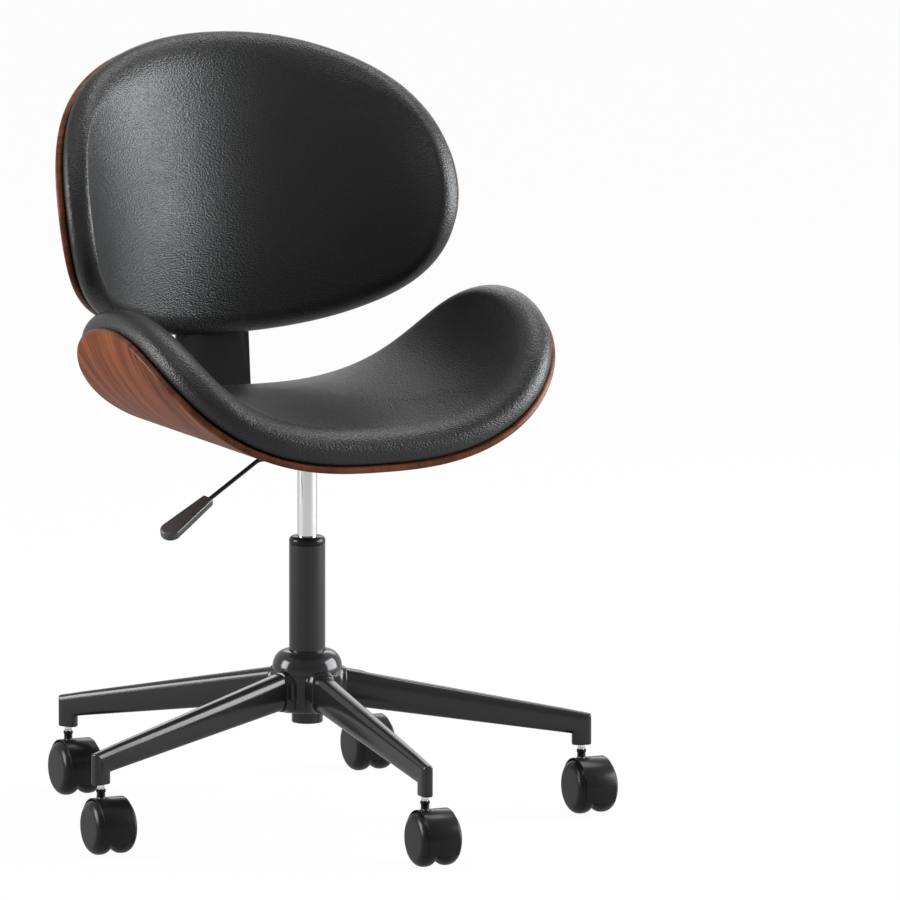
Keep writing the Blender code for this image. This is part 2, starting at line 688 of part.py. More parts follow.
def superellipse(angle, half_x, half_y, power_x, power_y):
    """A point of the blank's outline."""
    cosine, sine = math.cos(angle), math.sin(angle)
    return (half_x * math.copysign(abs(cosine) ** (2 / power_x), cosine),
            half_y * math.copysign(abs(sine) ** (2 / power_y), sine))


class Blank:
    """The outline of a plywood blank, and the surface that it is bent to."""

    across = 22
    along = 8

    def __init__(self, half_x, half_y, power_x, power_y, bend, taper=0.0):
        self.half_x, self.half_y = half_x, half_y
        self.power_x, self.power_y = power_x, power_y
        self.bend = bend
        self.taper = taper

    def outline(self, grow):
        """Evenly spaced points of the outline, grown outward."""
        dense = []
        count = 1440
        for index in range(count + 1):
            angle = -math.pi * 0.75 + math.tau * index / count
            dense.append(superellipse(angle, self.half_x + grow, self.half_y + grow,
                                      self.power_x, self.power_y))
        lengths = [0.0]
        for first, second in zip(dense, dense[1:]):
            lengths.append(lengths[-1] + math.dist(first, second))
        return dense, lengths

    def rim(self, share, table):
        """The outline's point at a share of its length."""
        dense, lengths = table
        target = (share % 1.0) * lengths[-1]
        low, high = 0, len(lengths) - 1
        while high - low > 1:
            middle = (low + high) // 2
            if lengths[middle] <= target:
                low = middle
            else:
                high = middle
        span = lengths[high] - lengths[low]
        mix = (target - lengths[low]) / span if span else 0.0
        return (dense[low][0] + (dense[high][0] - dense[low][0]) * mix,
                dense[low][1] + (dense[high][1] - dense[low][1]) * mix)

    def place(self, share, ring, table, lift):
        """A point of the bent sheet, lifted from its upper face."""
        x, y = self.rim(share, table)
        x, y = x * ring, y * ring
        x *= 1.0 - self.taper * y / self.half_y
        return self.bend(x, y, lift)

    def grid(self, bm, grow, lift, inner_grow=None):
        """A grid mapped to the outline and bent, in planar faces; its rim takes grow."""
        share_key = bm.verts.layers.float.get("share") or bm.verts.layers.float.new("share")
        ring_key = bm.verts.layers.float.get("ring") or bm.verts.layers.float.new("ring")
        made = bmesh.ops.create_grid(bm, x_segments=self.across, y_segments=self.along, size=1.0)
        table = self.outline(grow)
        inner_table = table if inner_grow is None else self.outline(inner_grow)
        total = 2 * (self.across + self.along)
        for vert in made["verts"]:
            p, q = vert.co.x, vert.co.y
            ring = max(abs(p), abs(q))
            if ring < 1e-6:
                steps = 0.0
                ring = 0.0
            elif q == -ring or abs(q + ring) < 1e-6:
                steps = (p / ring + 1.0) / 2 * self.across
            elif abs(p - ring) < 1e-6:
                steps = self.across + (q / ring + 1.0) / 2 * self.along
            elif abs(q - ring) < 1e-6:
                steps = self.across + self.along + (1.0 - p / ring) / 2 * self.across
            else:
                steps = 2 * self.across + self.along + (1.0 - q / ring) / 2 * self.along
            vert[share_key] = steps / total
            vert[ring_key] = ring
            chosen = table if ring > 0.999 else inner_table
            vert.co = self.place(steps / total, ring, chosen, lift(ring))
        faces = {face for vert in made["verts"] for face in vert.link_faces}
        quads = sorted((face for face in faces if len(face.verts) == 4),
                       key=lambda face: face.index)
        bmesh.ops.triangulate(bm, faces=quads, quad_method='FIXED')

    def pad(self, name, edge, crown, bulge, rounding):
        """A closed pad on the sheet: drawn-in foot, full side and crowned face."""
        bm = bmesh.new()
        self.grid(bm, -PAD_INSET, lambda ring: PAD_GAP, 0.0)
        share_key = bm.verts.layers.float.get("share")
        waist = PAD_GAP + (edge - PAD_GAP) * PAD_WAIST
        stations = []
        for index in range(1, 4):
            angle = math.pi / 2 * index / 3
            stations.append((-PAD_INSET + (bulge + PAD_INSET) * math.sin(angle),
                             waist - (waist - PAD_GAP) * math.cos(angle)))
        for index in range(1, 5):
            angle = math.pi / 2 * index / 4
            stations.append((bulge - rounding + rounding * math.cos(angle),
                             waist + (edge - waist) * math.sin(angle)))
        border = [item for item in bm.edges if item.is_boundary]
        for grow, level in stations:
            made = bmesh.ops.extrude_edge_only(bm, edges=border)["geom"]
            table = self.outline(grow)
            for vert in (item for item in made if isinstance(item, bmesh.types.BMVert)):
                vert.co = self.place(vert[share_key], 1.0, table, level)
            border = [item for item in made if isinstance(item, bmesh.types.BMEdge)
                      and item.is_boundary]
        face_grow = bulge - rounding
        self.grid(bm, face_grow, lambda ring: edge + (crown - edge) * (1.0 - ring * ring))
        bmesh.ops.remove_doubles(bm, verts=bm.verts, dist=0.00001)
        return mesh_from(bm, name, math.radians(60.0))

    def sheet(self, name):
        """The open upper face of the shell."""
        bm = bmesh.new()
        self.grid(bm, 0.0, lambda ring: 0.0)
        mesh = bpy.data.meshes.new(name)
        bm.to_mesh(mesh)
        bm.free()
        mesh.shade_smooth()
        return mesh


def seat_bend(x, y, lift):
    """Bend the flat seat blank: its slope grows from nothing at the middle to the wing."""
    steps = 24
    reach = abs(x)
    across, rise = 0.0, 0.0
    for index in range(steps):
        middle = reach * (index + 0.5) / steps
        slope = SEAT_WING_ANGLE * (middle / SEAT_HALF_ARC) ** SEAT_BEND_POWER
        across += math.cos(slope) * reach / steps
        rise += math.sin(slope) * reach / steps
    slope = SEAT_WING_ANGLE * (reach / SEAT_HALF_ARC) ** SEAT_BEND_POWER
    across -= lift * math.sin(slope)
    rise += lift * math.cos(slope)
    return Vector((math.copysign(across, x) if x else 0.0, SEAT_Y + y, SEAT_Z + rise))


def back_frame():
    """The backrest's middle, leaning back."""
    return Matrix.Translation((0.0, BACK_Y, BACK_Z)) @ Matrix.Rotation(-BACK_LEAN, 4, 'X')


def back_bend(x, y, lift):
    """Bend the flat back blank round an upright cylinder that opens with height."""
    radius = BACK_CURVE_RADIUS + BACK_CURVE_FLARE * y
    angle = x / radius
    inner = radius - lift
    forward = radius - inner * math.cos(angle)
    return back_frame() @ Vector((inner * math.sin(angle), -forward, y))


def shell_object(name, blank, material, outward):
    """A plywood shell of even thickness with rounded edges."""
    shell = add_object(name, blank.sheet(name), material)
    solid = shell.modifiers.new("plies", 'SOLIDIFY')
    solid.thickness = PLY_THICKNESS
    solid.offset = outward
    solid.use_even_offset = True
    rounded = shell.modifiers.new("rounded_rim", 'BEVEL')
    rounded.width = PLY_EDGE_ROUND
    rounded.segments = 1
    rounded.limit_method = 'ANGLE'
    rounded.angle_limit = math.radians(50.0)
    return shell


def hole_cutter(name, frame_matrix, radius, low, high):
    """A round hole along the matrix's Z axis."""
    cutter = add_cutter(name, cylinder_mesh(name, radius, low, high, 12))
    cutter.matrix_local = frame_matrix
    return cutter


def bracket_path():
    """Middle line of the bracket's side view, from the front end up to the top edge."""
    half = BRACKET_THICKNESS / 2
    level = BRACKET_LEG_Z + half
    frame = back_frame()
    offset = PLY_THICKNESS + GAP + half
    top = frame @ Vector((0.0, offset, -BRACKET_TOP))
    lean = Vector((math.sin(BACK_LEAN), math.cos(BACK_LEAN)))
    top = Vector((top.y, top.z))
    radius = BRACKET_BEND + half
    turn_angle = math.pi / 2 - BACK_LEAN
    corner = top - lean * ((top.y - level) / lean.y)
    tangent = radius * math.tan(turn_angle / 2)
    points = [Vector((BRACKET_FRONT_Y, level)), Vector((corner.x - tangent, level))]
    centre = Vector((corner.x - tangent, level + radius))
    count = 7
    for index in range(1, count + 1):
        angle = turn_angle * index / count
        points.append(centre + radius * Vector((math.sin(angle), -math.cos(angle))))
    points.append(top)
    return points


def build_bracket(paint, steel, shells):
    """Bent flat-bar bracket with its bolts and the screws of the seat plate."""
    seat_shell, back_shell = shells
    bm = bmesh.new()
    half = BRACKET_WIDTH / 2
    columns = []
    for y, z in bracket_path():
        columns.append([bm.verts.new((x, y, z)) for x in (-half, 0.0, half)])
    for near, far in zip(columns, columns[1:]):
        for left, right in ((0, 1), (1, 2)):
            bm.faces.new((near[left], near[right], far[right], far[left]))
    bracket = add_object("back_bracket", mesh_from(bm, "back_bracket"), paint)
    solid = bracket.modifiers.new("flat_bar", 'SOLIDIFY')
    solid.thickness = BRACKET_THICKNESS
    solid.offset = 0.0
    solid.use_even_offset = True
    rounded = bracket.modifiers.new("broken_edges", 'BEVEL')
    rounded.width = 0.0006
    rounded.segments = 1
    rounded.limit_method = 'ANGLE'
    rounded.angle_limit = math.radians(50.0)

    frame = back_frame()
    rear = PLY_THICKNESS + GAP + BRACKET_THICKNESS
    block = 0.03
    reach = block / math.sqrt(2.0) - BRACKET_CHAMFER / 2
    for name, side in (("left", -1), ("right", 1)):
        wedge = box_mesh("corner_cut", (-block, -block, -block), (block, block, block))
        corner = add_cutter(f"corner_cut_{name}", wedge)
        corner.matrix_local = (frame @ Matrix.Translation(
            (side * (half + reach), rear, reach - BRACKET_TOP))
            @ Matrix.Rotation(math.pi / 4, 4, 'Y'))
        boolean(bracket, corner)

    along = Matrix.Rotation(-math.pi / 2, 4, 'X')
    number = 0
    for level in (-BOLT_TOP, -BOLT_TOP - BOLT_SPACING_Z):
        for x in (-BOLT_SPACING_X / 2, BOLT_SPACING_X / 2):
            number += 1
            spot = frame @ Matrix.Translation((x, rear, level)) @ along
            radius = BACK_CURVE_RADIUS + BACK_CURVE_FLARE * level
            sag = radius - math.sqrt(radius * radius - x * x)
            length = rear + sag - BOLT_END
            bolt_mesh = button_bolt(f"bracket_bolt_{number}", length)
            bolt = add_object(f"bracket_bolt_{number}", bolt_mesh, steel)
            bolt.matrix_local = spot
            hole = hole_cutter(f"bolt_hole_{number}", spot, BOLT_HOLE, -0.030, 0.010)
            boolean(bracket, hole)
            boolean(back_shell, hole)

    number = 0
    for y in (-SCREW_Y, SCREW_Y):
        for x in (-SCREW_X, SCREW_X):
            number += 1
            spot = (Matrix.Translation((x, y, PLATE_Z)) @ Matrix.Rotation(math.pi, 4, 'X'))
            rise = seat_bend(x, 0.0, 0.0).z - SEAT_Z
            length = SEAT_Z - PLATE_Z + rise - BOLT_END
            screw = add_object(f"plate_screw_{number}",
                               button_bolt(f"plate_screw_{number}", length), steel)
            screw.matrix_local = spot
            hole = hole_cutter(f"screw_hole_{number}", spot, BOLT_HOLE, -0.030, 0.010)
            boolean(bracket, hole)
            boolean(seat_shell, hole)
    opening = add_cutter("lever_room", cylinder_mesh(
        "lever_room", CYLINDER_RADIUS, BRACKET_LEG_Z - 0.004,
        BRACKET_LEG_Z + BRACKET_THICKNESS + 0.004, 24))
    boolean(bracket, opening)
    return bracket


def button_bolt(name, length):
    """Button-head bolt with a six-sided socket; its head's seat is at level 0."""
    crown = BOLT_HEAD_HEIGHT
    points = [(0.0, GAP + crown), (BOLT_HEAD_RADIUS * 0.52, GAP + crown),
              (BOLT_HEAD_RADIUS * 0.90, GAP + crown * 0.66), (BOLT_HEAD_RADIUS, GAP),
              (BOLT_RADIUS, GAP), (BOLT_RADIUS, -length), (0.0, -length)]
    bolt = add_object(name, turned_mesh(name, points, 8))
    bm = bmesh.new()
    bmesh.ops.create_cone(bm, cap_ends=True, segments=6, radius1=BOLT_SOCKET_RADIUS,
                          radius2=BOLT_SOCKET_RADIUS, depth=2 * BOLT_SOCKET_DEPTH)
    bmesh.ops.translate(bm, verts=bm.verts, vec=(0.0, 0.0, GAP + crown))
    socket = add_cutter(f"{name}_socket", mesh_from(bm, f"{name}_socket"))
    boolean(bolt, socket)
    mesh = baked_mesh(bolt, name)
    bpy.data.objects.remove(socket)
    return mesh


def lever_frame():
    """Frame of the lever's pivot: its X axis points from the lever to the column."""
    return Matrix.Translation((-LEVER_PIVOT, 0.0, LEVER_Z))


def build_plate(paint, steel):
    """Seat plate with the cylinder's collar and the ears of the lever's pivot."""
    half_x, half_y = PLATE_WIDTH / 2, PLATE_DEPTH / 2
    plate = add_object("seat_plate", box_mesh(
        "seat_plate", (-half_x, -half_y, PLATE_Z),
        (half_x, half_y, PLATE_Z + PLATE_THICKNESS), upright=PLATE_CORNER), paint)
    bore = CYLINDER_RADIUS + GAP
    top = PLATE_Z + PLATE_THICKNESS / 2
    collar = add_cutter("collar", turned_mesh("collar", [
        (0.0, top), (COLLAR_RADIUS, top), (COLLAR_RADIUS, COLLAR_Z + 0.0006),
        (COLLAR_RADIUS - 0.0006, COLLAR_Z), (0.0, COLLAR_Z)], 24))
    boolean(plate, collar, 'UNION')
    frame = lever_frame()
    outer = LEVER_SLOT / 2 + EAR_CLEARANCE + EAR_THICKNESS
    for name, side in (("near", -1), ("far", 1)):
        low, high = sorted((side * (outer - EAR_THICKNESS), side * outer))
        ear_mesh = box_mesh(f"ear_{name}", (-EAR_LENGTH / 2, low, -EAR_DROP),
                            (EAR_LENGTH / 2, high, PLATE_Z + PLATE_THICKNESS / 2 - LEVER_Z))
        ear = add_cutter(f"ear_{name}", ear_mesh)
        ear.matrix_local = frame
        boolean(plate, ear, 'UNION')
    cylinder_room = add_cutter("cylinder_room", cylinder_mesh(
        "cylinder_room", bore, COLLAR_Z - 0.010, CYLINDER_TOP_Z + GAP, 24))
    boolean(plate, cylinder_room)
    button_room = add_cutter("button_room", cylinder_mesh(
        "button_room", CYLINDER_RADIUS - COLLAR_LEDGE, COLLAR_Z, PLATE_Z + 0.020, 24))
    boolean(plate, button_room)
    slot_low = CYLINDER_TOP_Z + GAP - LEVER_Z
    slot = add_cutter("lever_slot", box_mesh(
        "lever_slot", (LEVER_PIVOT - half_x - 0.020, -LEVER_SLOT / 2, slot_low),
        (LEVER_PIVOT, LEVER_SLOT / 2, 0.020)))
    slot.matrix_local = frame
    boolean(plate, slot)
    across = Matrix.Rotation(math.pi / 2, 4, 'X')
    pin_hole = add_cutter("pin_hole", cylinder_mesh(
        "pin_hole", PIVOT_RADIUS + RUNNING, -0.012, 0.012, 12))
    pin_hole.matrix_local = frame @ across
    boolean(plate, pin_hole)
    for x in (-SCREW_X, SCREW_X):
        for y in (-SCREW_Y, SCREW_Y):
            hole = hole_cutter(f"plate_hole_{x:+.3f}_{y:+.3f}", Matrix.Translation((x, y, 0.0)),
                               BOLT_HOLE, PLATE_Z - 0.005, PLATE_Z + 0.010)
            boolean(plate, hole)

    pin = add_object("lever_pin", cylinder_mesh(
        "lever_pin", PIVOT_RADIUS, -outer - 0.0008, outer + 0.0008, 12), steel)
    pin.matrix_local = frame @ across


def rounded_path(points, radii, count):
    """A polyline with its inner corners rounded by arcs."""
    path = [points[0]]
    for before, corner, after, radius in zip(points, points[1:], points[2:], radii):
        back = (before - corner).normalized()
        ahead = (after - corner).normalized()
        half = back.angle(ahead) / 2
        reach = radius / math.tan(half)
        centre = corner + (back + ahead).normalized() * (radius / math.sin(half))
        start = (corner + back * reach - centre).normalized()
        end = (corner + ahead * reach - centre).normalized()
        for index in range(count + 1):
            path.append(centre + radius * start.slerp(end, index / count))
    path.append(points[-1])
    return path


def lever_path():
    """Middle line of the lever's rod from its pivot's frame, and the handle's axis."""
    inner = Vector((LEVER_PIVOT + LEVER_INNER, 0.0, 0.0))
    bend = Vector((LEVER_PIVOT - LEVER_BEND_X, 0.0, 0.0))
    root = bend + LEVER_ROD_FALL * Vector((-math.cos(LEVER_FALL), 0.0, -math.sin(LEVER_FALL)))
    axis = Vector((-math.cos(HANDLE_SWING) * math.cos(HANDLE_DIP),
                   -math.sin(HANDLE_SWING) * math.cos(HANDLE_DIP), -math.sin(HANDLE_DIP)))
    lead = 0.0015
    points = [inner, bend, root - axis * lead, root + axis * HANDLE_SOCKET]
    return rounded_path(points, (LEVER_BEND_ROUND, HANDLE_BEND_ROUND), 4), root, axis


def build_lever(paint, plastic):
    """Bent rod on its pivot, with a paddle handle."""
    frame = lever_frame()
    path, root, axis = lever_path()
    pivot = make_pivot("lever_pivot", (0.0, 0.0, 0.0))
    pivot.matrix_local = frame
    curve = bpy.data.curves.new("lever_rod", 'CURVE')
    curve.dimensions = '3D'
    curve.bevel_depth = LEVER_ROD_RADIUS
    curve.bevel_resolution = 2
    curve.use_fill_caps = True
    spline = curve.splines.new('POLY')
    spline.points.add(len(path) - 1)
    for point, spot in zip(spline.points, path):
        point.co = (spot.x, spot.y, spot.z, 1.0)
    rod = bpy.data.objects.new("lever_rod_curve", curve)
    PARTS.objects.link(rod)
    rod_mesh = baked_mesh(rod, "lever_rod")
    bpy.data.curves.remove(curve)
    rod = add_object("lever_rod", rod_mesh, paint, pivot)
    cross = add_cutter("rod_cross_hole", cylinder_mesh(
        "rod_cross_hole", PIVOT_RADIUS + RUNNING, -0.006, 0.006, 12), pivot)
    cross.rotation_euler = (math.pi / 2, 0.0, 0.0)
    boolean(rod, cross)

    # The paddle lies along its own Z axis, away from the rod.
    outline = []
    half_root, half_tip = HANDLE_ROOT_WIDTH / 2, HANDLE_WIDTH / 2
    nose = half_tip * 0.92
    centre = HANDLE_LENGTH - nose
    for index in range(11):
        angle = math.pi * index / 10
        outline.append((half_tip * math.cos(angle), centre + nose * math.sin(angle)))
    outline += [(-half_root, 0.0), (half_root, 0.0)]
    bm = bmesh.new()
    verts = [bm.verts.new((x, -HANDLE_THICKNESS / 2, z)) for x, z in outline]
    face = bm.faces.new(verts)
    made = bmesh.ops.extrude_face_region(bm, geom=[face])["geom"]
    for vert in (item for item in made if isinstance(item, bmesh.types.BMVert)):
        vert.co.y += HANDLE_THICKNESS
    rims = [edge for edge in bm.edges
            if abs(edge.verts[0].co.y - edge.verts[1].co.y) < 1e-6]
    bmesh.ops.bevel(bm, geom=rims, offset=0.0012, segments=2, affect='EDGES', profile=0.5)
    handle = add_object("lever_handle", mesh_from(bm, "lever_handle"), plastic, pivot)
    side = axis.cross(Vector((0.0, 0.0, 1.0))).normalized()
    basis = Matrix((side, axis.cross(side), axis)).transposed().to_4x4()
    twist = Matrix.Rotation(HANDLE_TWIST, 4, axis)
    place = Matrix.Translation(root) @ twist @ basis
    handle.matrix_local = place
    hollow = add_cutter("handle_hollow", cylinder_mesh(
        "handle_hollow", LEVER_ROD_RADIUS + GAP, -0.005, HANDLE_SOCKET + GAP, 12), pivot)
    hollow.matrix_local = place
    boolean(handle, hollow)


def build_seat(ply, leather, paint, steel):
    """Shells, pads, bracket and seat plate."""
    seat_blank = Blank(SEAT_HALF_ARC, SEAT_HALF_DEPTH, SEAT_ARC_POWER, SEAT_DEPTH_POWER,
                       seat_bend)
    back_blank = Blank(BACK_HALF_ARC, BACK_HALF_HEIGHT, BACK_ARC_POWER, BACK_HEIGHT_POWER,
                       back_bend, BACK_TAPER)
    seat_shell = shell_object("seat_shell", seat_blank, ply, -1.0)
    back_shell = shell_object("back_shell", back_blank, ply, -1.0)
    add_object("seat_pad", seat_blank.pad("seat_pad", SEAT_PAD_EDGE, SEAT_PAD_CROWN,
                                          SEAT_PAD_BULGE, SEAT_PAD_ROUND), leather)
    add_object("back_pad", back_blank.pad("back_pad", BACK_PAD_EDGE, BACK_PAD_CROWN,
                                          BACK_PAD_BULGE, BACK_PAD_ROUND), leather)
    build_bracket(paint, steel, (seat_shell, back_shell))
    build_plate(paint, steel)


def main():
    """Build the whole chair."""
    start_scene()
    paint = make_material("black_paint", (0.030, 0.031, 0.032), 0.42, 0.35)
    plastic = make_material("black_plastic", (0.028, 0.028, 0.029), 0.38)
    steel = make_material("black_oxide_steel", (0.035, 0.035, 0.036), 0.35, 0.85)
    chrome = make_material("chrome", (0.80, 0.80, 0.81), 0.08, 1.0)
    ply = make_material("walnut_ply", (0.170, 0.062, 0.034), 0.38)
    leather = make_material("black_leather", (0.026, 0.026, 0.027), 0.42)
    build_base(paint)
    build_column(paint, plastic, steel, chrome)
    build_casters(plastic, chrome)
    build_seat(ply, leather, paint, steel)
    build_lever(paint, plastic)


main()
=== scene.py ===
import json
import math

import bmesh
import bpy
import numpy as np
from mathutils import Matrix, Vector


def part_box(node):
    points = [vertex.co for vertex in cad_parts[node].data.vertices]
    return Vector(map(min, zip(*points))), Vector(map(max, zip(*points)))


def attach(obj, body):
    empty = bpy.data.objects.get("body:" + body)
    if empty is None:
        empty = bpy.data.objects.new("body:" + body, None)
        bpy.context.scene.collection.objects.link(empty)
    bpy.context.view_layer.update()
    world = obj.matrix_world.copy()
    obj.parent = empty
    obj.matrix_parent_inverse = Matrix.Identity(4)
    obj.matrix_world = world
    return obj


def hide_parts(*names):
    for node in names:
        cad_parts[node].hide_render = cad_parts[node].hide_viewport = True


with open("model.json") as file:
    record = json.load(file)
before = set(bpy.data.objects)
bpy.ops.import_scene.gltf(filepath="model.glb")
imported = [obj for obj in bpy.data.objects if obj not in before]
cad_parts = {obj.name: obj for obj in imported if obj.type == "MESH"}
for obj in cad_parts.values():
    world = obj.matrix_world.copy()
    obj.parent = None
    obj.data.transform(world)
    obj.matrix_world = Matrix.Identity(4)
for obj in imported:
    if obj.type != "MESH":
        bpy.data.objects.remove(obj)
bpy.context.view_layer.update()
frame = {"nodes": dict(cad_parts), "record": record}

COLUMN = Vector((0.0, 0.0385, 0.0))  # foot of the column, on the floor

# Seat and backrest blanks, as in the CAD
PLY = 0.0080
SEAT = {"half_x": 0.3135, "half_y": 0.1779, "power_x": 3.45, "power_y": 2.08, "taper": 0.0}
BACK = {"half_x": 0.2900, "half_y": 0.1661, "power_x": 2.10, "power_y": 2.08, "taper": 0.1090}
SEAT_MIDDLE = (0.0, COLUMN.y - 0.0240, 0.4262)
SEAT_WING_ANGLE = math.radians(78.1)
SEAT_BEND_POWER = 1.585
BACK_MIDDLE = (0.0, COLUMN.y + 0.2635, 0.6827)
BACK_LEAN = math.radians(5.3)
BACK_RADIUS = 0.2791
BACK_FLARE = 0.1554

# Star base, as in the CAD
LEG_COUNT = 5
LEG_REACH = 0.3100  # column axis to caster stem
FOOT_LENGTH = 0.0220
FOOT_WIDTH = 0.0130
FOOT_BOTTOM_Z = 0.0740
HEEL_Z = 0.0870  # arm's underside at the foot
ARM_TIP_HEIGHT = 0.0225
ARM_ROOT_WIDTH = 0.0250
ARM_TOP_SLOPE = 0.2032
ARM_UNDER_SLOPE = 0.1477
ARM_ROOT_RADIUS = 0.0240  # where the arm ends inside the hub
ARM_SECTION_POWER = 3.2
HUB_RADIUS = 0.0395
HUB_BODY_RADIUS = 0.0370
HUB_TOP_Z = 0.1890
HUB_SHOULDER_Z = 0.1655  # lower than the solid's, a taller dome
HUB_BOTTOM_Z = 0.1205
HUB_BOTTOM_ROUND = 0.0070
HUB_MOUTH_REACH = 0.0435  # how far an arm's mouth stands out
HUB_MOUTH_LIP = 0.0022
HUB_MOUTH_HIDDEN = 0.0030  # how much wider a mouth is inside the hub's wall
HUB_SEAM = 0.0003  # depth of the parting line under the dome
STUB_RADIUS = 0.0175
STUB_Z = 0.1067

# Column, as in the CAD
TUBE_RADIUS = 0.02035
TUBE_BORE = 0.01835
TUBE_FOOT_Z = 0.1853
TUBE_TOP_Z = 0.3090
SHANK_RADIUS = 0.0153
CAP_LOW_Z = 0.3093
CAP_TOP_Z = 0.3178
CAP_ROUND = 0.0050
CYLINDER_RADIUS = 0.0111
CYLINDER_LOW_Z = 0.2058
CYLINDER_TOP_Z = 0.4028
CYLINDER_BORE = 0.0092
CYLINDER_END = 0.0080  # thickness of the cylinder's two ends
ROD_HOLE_RADIUS = 0.0053
PIN_HOLE_RADIUS = 0.0033
CAP_SPIGOT = 0.0240  # length of the cap inside the tube
SLIDE_GAP = 0.0002

# Casters, as in the CAD
WHEEL_RADIUS = 0.0307
WHEEL_SPACE = 0.0032
WHEEL_WIDTH = 0.0230
WHEEL_FACE_ROUND = 0.0105
WHEEL_TREAD_ROUND = 0.0105
WHEEL_DISC_RADIUS = 0.0100  # flat middle of the outer face
WHEEL_DISC_RISE = 0.0001
CASTER_TRAIL = 0.0210
HOOD_INSIDE = 0.0313
HOOD_WALL = 0.0013
HOOD_WIDTH = 0.0370  # wider than the solid's, over the wheels' shoulders
HOOD_SKIRT_Z = 0.0150  # lower than the solid's
HOOD_WEB = 0.0022
BOSS_RADIUS = 0.0054
BOSS_TOP_Z = 0.0690
STEM_RADIUS = 0.0044
STEM_TOP_Z = 0.0980
STEM_IN_HOOD = 0.0080
STEM_STEP = 0.0003  # how far the collar stands out from the stem

# Lever handle, at the place that it has in the CAD
HANDLE_ROOT = COLUMN + Vector((-0.1206, 0.0, 0.3664))
HANDLE_SWING = math.radians(23.1)
HANDLE_DIP = math.radians(24.1)
HANDLE_TWIST = math.radians(-16.0)  # turns its flat side to the front
HANDLE_LENGTH = 0.0800
HANDLE_ROOT_WIDTH = 0.0135
HANDLE_WIDTH = 0.0235
HANDLE_THICKNESS = 0.0110
HANDLE_EDGE = 0.0028
HANDLE_CORNER = 0.0020

# Bolts, as in the CAD
BOLT_RADIUS = 0.0030
BOLT_HEAD_RADIUS = 0.0060
BOLT_HEAD_HEIGHT = 0.0034
BOLT_GAP = 0.0003
SOCKET_RADIUS = 0.0023
SOCKET_DEPTH = 0.0018

# Copies of CAD nodes
MERGE_DISTANCE = 0.00002
FLAT_ANGLE = math.radians(0.5)
CORNER_ANGLE = math.radians(50.0)  # sharper edges than this are broken
BRACKET_EDGE = 0.0008

# Shells and cushions; a measure with three values is for the front, the sides and the rear
SEAT_GRID = (96, 44)
BACK_GRID = (80, 48)
LIP_ROUND = 0.0030  # rounding of the plywood's edges
PAD_LOW = 0.0008  # gap between a shell and its pad
SEAT_PROFILE = {"turn": (0.45, 0.95), "foot": 0.0050, "waist": 0.0180, "crown": 0.0495,
                "bulge": (0.0060, 0.0165, 0.0060), "rounding": (0.0400, 0.0220, 0.0360),
                "edge": (0.0415, 0.0425, 0.0460)}
BACK_PROFILE = {"turn": (0.50, 0.98), "foot": 0.0040, "waist": 0.0110, "crown": 0.0400,
                "bulge": (0.0050, 0.0090, 0.0050), "rounding": (0.0260, 0.0085, 0.0460),
                "edge": (0.0330, 0.0300, 0.0345)}

# Camera: a long lens from the sitter's right, a little above
CAMERA_AZIMUTH = math.radians(-24.7)  # from straight ahead, positive to the sitter's left
CAMERA_PITCH = math.radians(9.06)
CAMERA_TURN = math.radians(-0.613)  # puts the chair left of the picture's middle
CAMERA_DISTANCE = 14.96
CAMERA_RISE = 0.4093  # from the column's foot, along the picture's height
CAMERA_LENS = 533.8

# Sides of round pieces, and steps of the bent sheets' curves
ROUND_SIDES = 128
WHEEL_SIDES = 96
SMALL_SIDES = 48
BEND_REACH = 0.36
BEND_STEPS = 721
OUTLINE_STEPS = 1440

# Materials
NEUTRAL = (1.0, 1.0, 1.0)
PEBBLE_TILT = (0.0, math.radians(24.0), math.radians(18.0))
PEBBLE_SCALE = (370.0, 520.0, 660.0)
PEBBLE_WANDER = (0.0030, 0.0030, 0.0030)
WALNUT_BEND = 0.036  # how far the figure wanders across the sheet
WALNUT_TONES = [(0.28, (0.110, 0.031, 0.013)), (0.42, (0.205, 0.059, 0.026)),
                (0.56, (0.305, 0.093, 0.041)), (0.74, (0.400, 0.132, 0.060))]

# Lamps: name, azimuth from the camera to its right, elevation, distance, size, radiance, tint
LAMPS = [("softbox_right", 94.0, 11.0, 2.5, (2.0, 1.7), 10.0, (0.95, 0.975, 1.0)),
         ("softbox_left", -84.0, 12.0, 3.0, (1.3, 1.6), 11.5, (1.0, 0.98, 0.96)),
         ("softbox_rear", 170.0, 21.0, 3.6, (2.6, 1.0), 2.0, NEUTRAL),
         ("softbox_top", 140.0, 64.0, 3.0, (1.6, 0.9), 5.0, NEUTRAL),
         ("softbox_front", -25.0, 62.0, 3.4, (1.6, 1.2), 2.4, NEUTRAL)]
LAMP_AIM = Vector((0.0, 0.0, 0.45))

# Room and floor; a share is how much of the white shows directly and in mirrors
ROOM_REAR = 0.56
ROOM_FRONT = 0.22
ROOM_TURN = (-0.10, 0.70)  # where rear begins to fade, and where front is reached
ROOM_WHITE = 1.04
ROOM_SHARE = (1.0, 0.12)
FLOOR_DULL = 0.28
FLOOR_WHITE = 1.09
FLOOR_SHARE = (0.88, 0.36)


# Camera, light, floor

